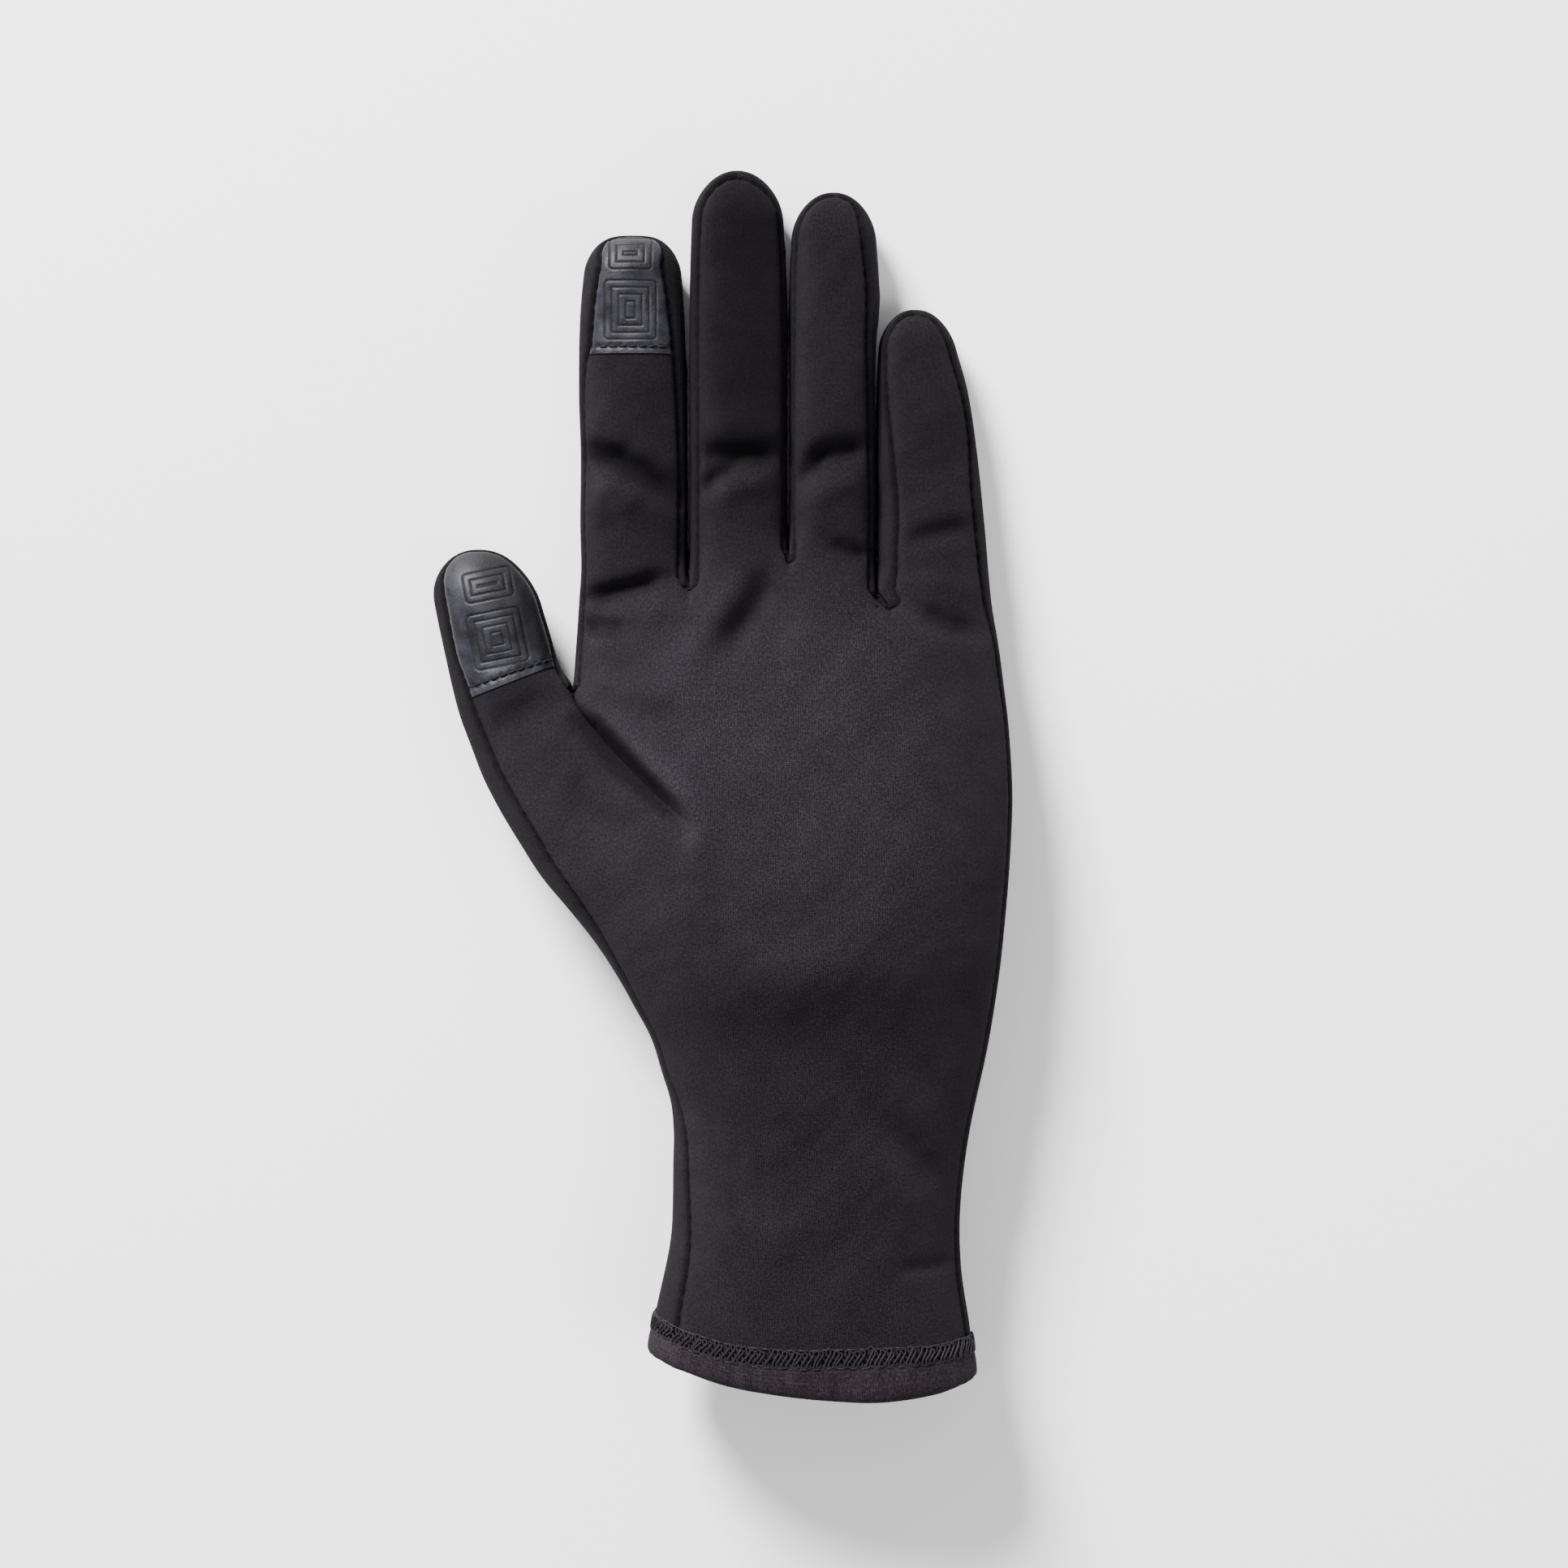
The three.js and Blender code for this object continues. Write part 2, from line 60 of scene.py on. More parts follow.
REST_SPOT = np.array([14.0, -20.0, 0.0])  # where the rest mount is in the glove's own frame
rest_mount = frame["record"]["mounts"][0]
SHIFT = np.array(rest_mount["pos_m"]) / MM - REST_SPOT


def place(points):
    """Glove millimetres to row-frame metres."""
    return (np.asarray(points, float) + SHIFT) * MM


# ---- driving sizes ----
FINE = 0.75  # grid step
WALL = 0.9  # fabric thickness
SEAM_DEPTH = 0.8
SEAM_REACH = 0.5  # how far a seam pulls the fabric in to each side
ROOT = 24.5  # the finger columns begin here
WRIST = -54.0  # the palm and the cuff meet here
CUFF = -123.0  # nominal cuff edge, before its curve
MOUND = -15.0  # the thumb column begins here
WEB = 18.6  # height of the gap between thumb and index finger
HEM = 6.0  # depth of the folded band
SQUARE = 2.35  # squareness of a finger's section
BODY_SQUARE = 2.4
THUMB_SQUARE = 2.2
FORK_LEVEL = 9.3  # height of the fingers' middle at their roots
THUMB_LEVEL = 11.4  # height of the thumb's middle
RESTING = 0.5  # how gently the back flattens against what it lies on


# ---- small helpers ----
def through(*points):
    """A smooth function through [position, value] points, level outside them."""
    at, value = np.array(points, float).T
    before = np.maximum(np.arange(len(at)) - 1, 0)
    after = np.minimum(np.arange(len(at)) + 1, len(at) - 1)
    slope = (value[after] - value[before]) / (at[after] - at[before])

    def curve(position):
        p = np.clip(np.asarray(position, float), at[0], at[-1])
        i = np.clip(np.searchsorted(at, p, side="right") - 1, 0, len(at) - 2)
        span = at[i + 1] - at[i]
        t = (p - at[i]) / span
        rise = value[i + 1] - value[i]
        start = slope[i] * span
        end = slope[i + 1] * span
        return value[i] + t * start + t * t * (3 * rise - 2 * start - end) + t**3 * (start + end - 2 * rise)

    return curve


def mix(a, b, share):
    return a + (b - a) * share


def smooth(value, low=0.0, high=1.0):
    t = np.clip((np.asarray(value, float) - low) / (high - low), 0, 1)
    return t * t * (3 - 2 * t)


def stations(keys, step):
    """Positions through every key, with even steps of at most step between them."""
    keys = sorted(set(keys))
    found = [np.array([keys[0]])]
    for a, b in zip(keys, keys[1:]):
        found.append(np.linspace(a, b, max(1, math.ceil((b - a) / step)) + 1)[1:])
    return np.concatenate(found)


def unit(vectors):
    length = np.linalg.norm(vectors, axis=-1, keepdims=True)
    return vectors / np.maximum(length, 1e-9)


def shares(count, crowd=0.6):
    """Shares from 0 to 1, closer together near both ends."""
    u = np.linspace(0, 1, count + 1)
    return mix(u, (1 - np.cos(np.pi * u)) / 2, crowd)


def run_along(points, axis=0):
    """Length from the start of each line of points that runs along an axis of the array."""
    steps = np.linalg.norm(np.diff(points, axis=axis), axis=-1)
    return np.concatenate([np.zeros_like(np.take(steps, [0], axis)), np.cumsum(steps, axis)], axis)


def points_at(at, run, values):
    """Values at lengths along a line, from its values at its own points."""
    return np.stack([np.interp(at, run, values[:, k]) for k in range(values.shape[1])], -1)


# ---- outline of the glove ----
# Each edge is a list of (y, x), from the cuff upwards.
outer_left = through(
    (-130, -16.5), (-121, -15.5), (-113, -14.2), (-99.8, -11.7), (-93, -11), (-80, -10.8), (-73, -10.7),
    (-66.4, -11.3), (-59.8, -13.2), (-53, -15.3), (-46.4, -18.8), (-39.8, -22.5), (-33, -27),
    (-26.4, -32.3), (-19.8, -37.8), (-13, -42.2), (-6.4, -46.2), (0.3, -49.7), (6.9, -52.3), (13.6, -54.8),
    (20, -56.5),
    (27, -58.1), (33, -59.4), (40, -60.6), (48, -60.9),
)
outer_right = through(
    (-130, 52), (-113, 50.2), (-100, 48.4), (-88, 48.2), (-73, 50), (-53, 54.2), (-33, 57), (-6, 58.9),
    (10, 58.3), (20, 57.2), (28, 56.2), (37, 54.8), (53, 53.4), (67, 52), (80, 50.1), (89.4, 47.6),
    (98, 45.4),
)
index_left = through(
    (14, -31.6), (20, -31.3), (30, -30.7), (37, -30.3), (43.6, -29.9), (53, -30.1), (67, -30), (80, -30.4),
    (95, -30.2), (104.7, -29.4), (113, -28.2),
)
# The crease between the thumb's mound and the palm, from the cuff up to the web.
mound_line = through(
    (-130, 8), (-54, 4), (-30, 1), (-15, -3), (-8.1, -8.2), (-3.1, -14), (3.6, -20.7), (10, -26.4),
    (14, -29.6), (16.6, -31), (18.6, -31.35), (21, -31.35),
)
thumb_right_edge = through(
    (18.6, -31.35), (20.2, -32), (23.6, -34.2), (30.2, -36.2), (36.9, -38.2), (43, -40), (48, -41),
)
body_top = through(
    (-130, 34), (-113, 33), (-95, 31.4), (-75, 30.4), (-55, 31), (-35, 33.4), (-12, 33.6), (8, 30.5),
    (24, 26), (36, 22.4), (50, 20),
)
body_bottom = through((-130, 1.2), (-110, 1.2), (-90, 0.4), (-70, -0.8), (-40, -1.8), (10, -1.8), (50, -1))
thumb_rise = through((-15, 14), (0, 12), (18, 10.6), (32, 10), (47, 8.6))
# How far the thumb and the palm have parted into two tubes, from 0 below the web to 1 above it.
web_split = through(
    (-24, 0), (-15, 0), (-6, 0.04), (2, 0.12), (9, 0.32), (15, 0.6), (19, 0.84), (22, 0.97), (25, 1), (30, 1),
)
root_line = through((-31, 33), (-7.5, 39.6), (13.2, 45.2), (33.6, 35.7), (57, 31))
cuff_edge = through((-20, -116), (-12, -118.6), (4, -123.6), (27, -126.1), (42, -125), (52, -122), (60, -119))
splits = [
    through((20, -7.2), (39.6, -7.4), (50, -7.75), (120, -7.75)),
    through((20, 13.6), (45.2, 13.3), (53, 12.85), (120, 12.85)),
    through((20, 34), (35.7, 33.6), (48, 31.5), (60, 31), (120, 31)),
]
CROTCHES = [39.6, 45.2, 35.7]
NEIGHBOUR_SWELL = [0.22, 0.2, 0.14]  # at each gap, so that fingers side by side all but touch
THUMB_TIP = 47.6
THUMB_ROUND = 11.0

# Each finger: its tip's height and rounding, where its panels are cut across, the bands over which they bend,
# its plan edges, its thickness, and how far in from the edges its front seams lie.
FINGERS = {
    "index": {
        "tip": 112.7, "round": 8, "shape": 0.62, "cuts": [54, 76],
        "bands": [(41.5, 50), (58, 70), (82, 93)],
        "left": index_left,
        "right": through((20, -8.2), (55, -8.0), (80, -8.1), (95, -8.6), (104.7, -9.2), (113, -10.4)),
        "thick": through((20, 18.6), (48, 18.6), (64, 17.6), (88, 16.4), (113, 14.5)),
        "inset_left": through((20, 0.9), (78, 0.8), (86, 1.3), (90, 2.3), (100, 2.8), (108, 3.2)),
        "inset_right": through((36, 1.7), (64, 1.5), (88, 2.4), (104, 3.4)),
        "inset_tip": 0.5,
    },
    "middle": {
        "tip": 126.1, "round": 10.5, "shape": 1, "cuts": [58, 80],
        "bands": [(47, 56), (61.5, 73.5), (87.5, 99.5)],
        "left": through((20, -7.5), (60, -7.4), (95, -7.5), (115.6, -7.1), (127, -6.3)),
        "right": through((20, 12.5), (60, 12.6), (95, 12.6), (115.6, 11.9), (127, 10.9)),
        "thick": through((20, 18.8), (48, 19), (67, 18.2), (94, 17), (127, 15)),
        "inset_left": through((36, 1.6), (127, 1.6)),
        "inset_right": through((40, 0.8), (127, 0.8)),
        "inset_tip": 1.7,
    },
    "ring": {
        "tip": 121.6, "round": 10, "shape": 0.95, "cuts": [58, 79],
        "bands": [(47, 56), (60.5, 72.5), (85.5, 97.5)],
        "left": through((20, 13.1), (60, 13.1), (95, 13.2), (111.6, 13.5), (122, 14.2)),
        "right": through((20, 31), (60, 30.8), (88, 30.9), (100, 31.7), (111.6, 31.1), (122, 30.2)),
        "thick": through((20, 18.6), (48, 18.8), (66, 17.8), (91, 16.6), (122, 14.6)),
        "inset_left": through((40, 0.8), (122, 0.8)),
        "inset_right": through((34, 1.3), (65, 1.2), (84, 1.6), (100, 2.5), (110, 2.8)),
        "inset_tip": 0.9,
    },
    "little": {
        "tip": 97.4, "round": 8, "shape": 0.85, "cuts": [49, 63],
        "bands": [(37.7, 46), (50, 58), (69, 79)],
        "left": through((16, 31.6), (50, 31.2), (74, 31.1), (89.4, 31.6), (98, 32.8)),
        "right": outer_right,
        "thick": through((16, 18.6), (38, 17.8), (52, 16.6), (74, 15.2), (98, 13.2)),
        "inset_left": through((34, 3.2), (55, 4.2), (64, 3.7), (79, 1.9), (90, 1.0)),
        "inset_right": through((10, 0.6), (30, 0.8), (38, 1.5), (60, 1.8), (72, 1.1), (87, 1.4)),
        "inset_tip": 1.0,
    },
}
NAMES = list(FINGERS)
mound_inset = through(
    (-130, 5), (-120, 4.8), (-105, 4.2), (-90, 3.3), (-75, 2.5), (-64, 1.2), (-50, 1.0), (-37, 1.5),
    (-30, 2.4), (-20, 3.5), (-9, 3.9), (2, 3.7), (14, 3.3), (19, 2.9), (26, 2.2), (37, 2.3), (44, 1.4),
)
palm_right_inset = through((-130, 0.9), (-60, 0.7), (10, 0.6), (30, 0.8))
THUMB_TIP_INSET = 0.4
THUMB_RIGHT_INSET = 0.8
THUMB_PAD_INSET = 0.3
BACK_INSET = 2.2


# ---- height fields ----
def dome(x, left, right, squareness):
    """1 over the middle of a section and 0 at its edges."""
    half = np.maximum((right - left) / 2, 1e-6)
    reach = np.clip(np.abs(x - (left + right) / 2) / half, 0, 1)
    return (1 - reach**squareness) ** (1 / squareness)


def cap(y, tip, roundness):
    """1 along a stall, falling to 0 at its tip."""
    return np.sqrt(1 - np.clip((y - tip + roundness) / roundness, 0, 1) ** 2)


def stall_edges(y, left, right, tip, roundness, shape):
    """The plan edges of a stall with its rounded tip."""
    middle = (left(y) + right(y)) / 2
    half = (right(y) - left(y)) / 2 * cap(y, tip, roundness) ** shape
    return middle - half, middle + half


def finger_edges(name, y):
    f = FINGERS[name]
    return stall_edges(y, f["left"], f["right"], f["tip"], f["round"], f["shape"])


def thumb_right(y):
    return np.where(np.asarray(y) < WEB, mound_line(y), thumb_right_edge(y))


def thumb_edges(y):
    return stall_edges(y, outer_left, thumb_right, THUMB_TIP, THUMB_ROUND, 0.9)


def palm_left(y):
    return np.where(np.asarray(y) < WEB, mound_line(y), index_left(y))


def levels(part, x, y):
    """Top and bottom of the glove over plan points, as its parts meet and part from each other."""
    top = body_top(y)
    bottom = body_bottom(y)
    middle = (top + bottom) / 2
    rise = (top - bottom) / 2
    whole = dome(x, outer_left(y), outer_right(y), BODY_SQUARE) * rise
    if part == "thumb":
        left, right = thumb_edges(y)
        own = dome(x, left, right, THUMB_SQUARE) * thumb_rise(y) * cap(y, THUMB_TIP, THUMB_ROUND)
        middle = mix(middle, THUMB_LEVEL, smooth(y, 19, 34))
    else:
        own = dome(x, palm_left(y), outer_right(y), BODY_SQUARE) * rise
    height = mix(whole, own, web_split(y))
    if part in FINGERS:
        f = FINGERS[part]
        left, right = finger_edges(part, y)
        stall = dome(x, left, right, SQUARE) * f["thick"](y) / 2 * cap(y, f["tip"], f["round"])
        share = smooth(y, root_line(x) - 6, root_line(x) + 9)
        height = mix(height, stall, share)
        middle = mix(middle, mix(FORK_LEVEL, f["thick"](y) / 2, smooth(y, 46, 60)), share)
    return middle, height


# Folds: points along the crease, half width, depth (negative is a valley).
FOLDS = [
    (((-30, 12), (-26.5, 10.3), (-20.7, 3.6), (-14, -3.1), (-7.6, -9.2)), 2.3, -4.6),
    (((-22, 10), (-15, 2.5), (-9, -4), (-6, -10), (-5.5, -17)), 2.6, 1.8),
    (((-31.5, 14), (-28.5, 7.5), (-23, 2.5), (-17, -2)), 4.2, -1.5),
    (((-31, 2), (-28, -4), (-22, -8), (-16, -9)), 3.2, -1.1),
    (((-21, -13), (-17, -22), (-12, -34)), 8.0, 0.7),
    (((-29, 37.2), (-24, 38.2), (-18, 39.9), (-12.2, 41.4)), 2.0, -2.8),
    (((-29, 31.8), (-24, 30.6), (-19.5, 31.5)), 2.2, -2.3),
    (((-28, 26), (-20, 33), (-11, 37)), 2.5, 0.68),
    (((-29, 68), (-22, 66.2), (-16, 62.5), (-10.8, 57.5)), 2.4, -3.9),
    (((-28, 60), (-23, 59.5), (-17, 56)), 3.2, 1.4),
    (((-26, 53), (-21, 51.5)), 2.4, -0.8),
    (((-4.5, 67.3), (2, 66.8), (10.5, 67)), 2.4, -3),
    (((3, 66), (-1.5, 62.5), (-4.8, 59.4)), 1.8, -1.9),
    (((-2.5, 57.5), (3, 60.5), (9, 61.5)), 2.6, 1.1),
    (((-5, 73), (3, 74), (10, 73)), 3.0, 0.54),
    (((17, 65), (21, 67), (28.5, 68.4)), 2.4, -2.7),
    (((20, 66), (16.5, 62.5), (15, 60)), 1.8, -1.4),
    (((17, 57.5), (22, 60.5), (28, 61)), 2.6, 0.94),
    (((21, 48.6), (25, 46.7), (29.3, 46)), 2.0, -1.6),
    (((37.7, 49.4), (44, 51), (50.2, 52.4)), 2.2, -1.8),
    (((40.2, 34.4), (46, 32), (51, 30.3)), 2.2, -1.9),
    (((39, 41), (46, 40), (51, 39)), 2.6, 0.68),
    (((8.5, 42.7), (5.5, 35), (-1, 26.2)), 2.8, -2.7),
    (((2, 40), (-3, 32), (-9, 24)), 3.2, 1.2),
    (((16, 41), (15, 32), (14, 22)), 3.4, 0.68),
    (((31, 31), (26, 24), (20, 17)), 3.4, 0.68),
    (((-28, 18), (-18, 14.5), (-8, 13)), 3.0, -1.2),
    (((-8, -47), (10, -50), (28, -49), (46, -46)), 8.0, -1.1),
    (((-6, -36), (12, -39), (30, -38)), 8.0, 0.68),
    (((31, -68), (36.8, -73), (40.5, -77.5), (44.5, -82)), 2.8, -0.9),
    (((33, -76), (36, -81), (38, -86)), 3.0, 0.68),
    (((35, -97.6), (41, -97.8), (47.5, -97.0)), 1.5, -0.8),
    (((-7, -66), (4, -70), (14, -71)), 3.5, -0.72),
    (((-6, -88), (6, -91), (20, -90)), 4.0, 0.47),
    (((-49, 24), (-44, 24.5), (-38, 26.5)), 1.6, -0.4),
    (((-48, 12), (-42, 14), (-36, 17)), 2.6, -0.8),
    (((-46, 2), (-40, 6), (-33, 12)), 4.0, 0.81),
]


def fold_relief(x, y):
    """Height added by the folds at plan points."""
    relief = np.zeros_like(x)
    for points, reach, depth in FOLDS:
        line = np.array(points, float)
        pieces = np.linalg.norm(np.diff(line, axis=0), axis=1)
        before = np.concatenate([[0], np.cumsum(pieces)])
        nearest = np.full_like(x, 1e9)
        along = np.zeros_like(x)
        for k, length in enumerate(pieces):
            step = (line[k + 1] - line[k]) / length
            run = np.clip((x - line[k, 0]) * step[0] + (y - line[k, 1]) * step[1], 0, length)
            away = np.hypot(x - line[k, 0] - step[0] * run, y - line[k, 1] - step[1] * run)
            closer = away < nearest
            nearest = np.where(closer, away, nearest)
            along = np.where(closer, before[k] + run, along)
        ends = smooth(np.minimum(along, before[-1] - along), -0.2 * before[-1], 0.3 * before[-1])
        relief += depth * ends * np.exp(-((nearest / reach) ** 2))
    return relief


# Waves over the cloth: radians per millimetre across and along, phase, size.
RIPPLES = (
    (0.31, 0.12, 0.9, 0.14), (-0.17, 0.27, 2.1, 0.18), (0.52, 0.4, 4.0, 0.07), (0.71, -0.55, 5.2, 0.05),
    (0.09, 0.08, 1.3, 0.25), (-0.06, 0.11, 0.4, 0.25), (1.1, 0.35, 3.3, 0.025), (0.4, -1.3, 2.6, 0.025),
)


def ripple(x, y):
    """Faint unevenness of cloth that has no stiffness of its own."""
    bend_x = x + 3 * np.sin(0.13 * y + 0.7)
    bend_y = y + 4 * np.sin(0.11 * x)
    return sum(size * np.sin(kx * bend_x + ky * bend_y + phase) for kx, ky, phase, size in RIPPLES)


def surface(part, plan, side):
    """Points of the palm side (side 1) or the back (side -1) over plan points."""
    x = plan[..., 0]
    y = plan[..., 1]
    middle, height = levels(part, x, y)
    body = smooth(height, 0.5, 6)
    if side > 0:
        z = middle + height + body * (fold_relief(x, y) + ripple(x, y))
    else:
        z = middle - height - 0.5 * body * ripple(x + 40, y)
        z = (z + np.sqrt(z * z + RESTING)) / 2
    droop = smooth(y, WRIST, CUFF) * (cuff_edge(x) - CUFF)
    return np.stack([x, y + droop, z], -1)


# ---- edges, seams and strips ----
class Side:
    """One long edge of a column of rows, with the front and back seams beside it.

    curve gives the edge's x at a height y, and inset how far in from it the front seam lies.
    tip is (height, radius, inset there) of a rounded end.
    gap is (height, radius) where this edge parts from its neighbour.
    """

    def __init__(self, part, sign, curve, y, inset, tip=None, gap=None):
        self.part = part
        self.edge = np.stack([curve(y), y], -1)
        slope = (curve(y + 0.3) - curve(y - 0.3)) / 0.6 * smooth(np.abs(y - ROOT), 0, 4)
        if gap:
            slope = slope * smooth(y, gap[0] + 2, gap[0] + 9)
        out = unit(np.stack([np.ones_like(y), -slope], -1)) * sign
        back_inset = np.full(len(y), BACK_INSET)
        if tip:
            top, radius, tip_inset = tip
            rounded = y > top - radius
            tangent = unit(np.gradient(self.edge, axis=0))
            turned = np.stack([tangent[:, 1], -tangent[:, 0]], -1) * sign
            out = np.where(rounded[:, None], turned, out)
            out[-1] = (0, 1)
            inset = mix(inset, tip_inset, smooth((y - top + radius) / radius, 0.2, 1))
        self.open = np.ones(len(y), bool)
        if gap:
            height, radius = gap
            rounding = np.clip((y - height) / radius, 0, 1)
            rounding = np.sqrt(1 - (1 - rounding) ** 2)
            inset = inset * rounding
            back_inset = back_inset * rounding
            self.open = y > height - 1e-6
        self.out = out
        self.inset = inset
        self.back_inset = back_inset
        self.front = self.edge - out * inset[:, None]
        self.back = self.edge - out * back_inset[:, None]

    def strip(self, count):
        """Rows of points from the front seam round the edge to the back seam."""
        ease = np.linspace(1, 0, 16) ** 2.4
        front_reach = self.inset[:, None] * ease
        plan_front = self.edge[:, None] - self.out[:, None] * front_reach[..., None]
        back_reach = self.back_inset[:, None] * ease[::-1]
        plan_back = self.edge[:, None] - self.out[:, None] * back_reach[..., None]
        upper = surface(self.part, plan_front, 1)
        lower = surface(self.part, plan_back, -1)
        wall = mix(upper[:, -1:], lower[:, :1], np.linspace(0, 1, 6)[1:-1, None])
        line = np.concatenate([upper, wall, lower], 1)
        length = run_along(line, 1) + 1e-9 * np.arange(line.shape[1])
        share = shares(count, 0.5)
        rows = np.array([points_at(share * run[-1], run, points) for points, run in zip(line, length)])
        rows[:, 0] = line[:, 0]
        rows[:, -1] = line[:, -1]
        return rows


def across(knots, count, part, side):
    """A grid whose rows run straight between the knots, each an (rows, 2) line."""
    share = shares(count)
    plan = [knots[0][:, None]]
    for a, b in zip(knots, knots[1:]):
        plan.append(mix(a[:, None], b[:, None], share[None, 1:, None]))
    return surface(part, np.concatenate(plan, 1), side)


class Column:
    """A stall or the body as four grids round it: top, right, bottom and left."""

    def __init__(self, part, left, right, columns, strip_columns):
        self.left_side = left
        self.right_side = right
        self.rows = len(left.edge)
        self.top = across([left.front, right.front], columns, part, 1)
        self.bottom = across([right.back, left.back], columns, part, -1)
        self.right = right.strip(strip_columns)
        self.left = left.strip(strip_columns)[:, ::-1]


STRIP_COLUMNS = 18
COLUMN_STEPS = 26


CROTCH_RADIUS = 2.4
ROOT_TOP = 50.0  # below this all finger columns share their row heights


def opening_rows(height, radius, angles):
    """Row heights round the closed end of a gap."""
    return [height + radius * (1 - math.cos(math.radians(angle))) for angle in angles]


root_keys = [ROOT, ROOT_TOP]
for crotch in CROTCHES:
    root_keys += opening_rows(crotch, CROTCH_RADIUS, (0, 14, 28, 42, 56, 72, 90))
root_keys += [y for f in FINGERS.values() for y in (*f["bands"][0], *f["cuts"]) if y < ROOT_TOP]
root_rows = stations(root_keys, FINE)


def tip_rows(tip, roundness):
    """Row heights over a rounded tip, closer together towards its end."""
    count = math.ceil(roundness * math.pi / 2 / FINE) + 3
    angles = np.linspace(0, math.pi / 2, count + 1)[1:]
    return tip - roundness + roundness * np.sin(angles)


def finger_side(number, name, sign):
    """The curve of one edge of a finger, with the gap that it opens from, if any."""
    gap = number - 1 if sign < 0 else number
    which = 0 if sign < 0 else 1
    if not 0 <= gap < len(splits):
        return lambda y: finger_edges(name, y)[which], None
    height = CROTCHES[gap]
    f = FINGERS[name]

    def curve(y):
        swell = sign * NEIGHBOUR_SWELL[gap] * smooth(f["tip"] - f["round"] - y, 0, 8)
        return mix(splits[gap](y), finger_edges(name, y)[which] + swell, smooth(y, height, height + 4))

    return curve, (height, CROTCH_RADIUS)


def finger_column(number, name):
    f = FINGERS[name]
    keys = [ROOT_TOP, f["tip"] - f["round"], *(cut for cut in f["cuts"] if cut > ROOT_TOP)]
    y = np.concatenate([root_rows, stations(keys, FINE)[1:], tip_rows(f["tip"], f["round"])])
    tip = (f["tip"], f["round"], f["inset_tip"])
    sides = []
    for sign, key in ((-1, "inset_left"), (1, "inset_right")):
        curve, gap = finger_side(number, name, sign)
        sides.append(Side(name, sign, curve, y, f[key](y), tip, gap))
    column = Column(name, sides[0], sides[1], COLUMN_STEPS, STRIP_COLUMNS)
    column.y = y
    return column


columns = {name: finger_column(i, name) for i, name in enumerate(NAMES)}

# The thumb's rows lean: each runs from a height on its left edge to another on its right edge.
PAD_LOW_LEFT = 15.9
PAD_LOW_RIGHT = 23.6
WEB_GAP = (WEB, 1.2)
thumb_keys_left = [MOUND, 9.0, PAD_LOW_LEFT, THUMB_TIP - THUMB_ROUND]
thumb_keys_right = [MOUND, WEB, PAD_LOW_RIGHT, THUMB_TIP - THUMB_ROUND]
THUMB_SPANS = (33.0, 6.75, 18.0)  # mean length of the side between keys, which sets how many rows it has
WEB_CROWDING = 1.4  # the rows just above the web lie closer together


def thumb_rows():
    """The heights of each row's left and right ends."""
    left = [np.array([MOUND])]
    right = [np.array([MOUND])]
    for k, span in enumerate(THUMB_SPANS):
        count = math.ceil(span / FINE)
        share = np.linspace(0, 1, count + 1)[1:]
        if k == 1:
            share = share**WEB_CROWDING
        left.append(mix(thumb_keys_left[k], thumb_keys_left[k + 1], share))
        right.append(mix(thumb_keys_right[k], thumb_keys_right[k + 1], share))
    tip = tip_rows(THUMB_TIP, THUMB_ROUND)
    return np.concatenate([*left, tip]), np.concatenate([*right, tip])


def thumb_column():
    left_y, right_y = thumb_rows()
    tip = (THUMB_TIP, THUMB_ROUND, THUMB_TIP_INSET)
    beside_pad = smooth(right_y, PAD_LOW_RIGHT - 3, PAD_LOW_RIGHT + 4)
    right_inset = mix(THUMB_RIGHT_INSET, THUMB_PAD_INSET, beside_pad)
    left = Side("thumb", -1, lambda y: thumb_edges(y)[0], left_y, mound_inset(left_y), tip)
    right = Side("thumb", 1, lambda y: thumb_edges(y)[1], right_y, right_inset, tip, WEB_GAP)
    column = Column("thumb", left, right, COLUMN_STEPS, STRIP_COLUMNS)
    column.y = right_y
    return column


columns["thumb"] = thumb_column()


# The body below the finger roots: rows from the cuff to the roots.
web_rows = columns["thumb"].y[columns["thumb"].y <= WEB + 1e-6]
past_web = opening_rows(*WEB_GAP, (0, 25, 50, 75, 90))
upper_y = np.concatenate([web_rows, stations([*past_web, ROOT], FINE)[1:]])
lower_y = stations([CUFF, CUFF + HEM, WRIST, MOUND], FINE)
PALM_LEFT_INSET = 0.9


def strips(left, right):
    return {"right": right.strip(STRIP_COLUMNS), "left": left.strip(STRIP_COLUMNS)[:, ::-1]}


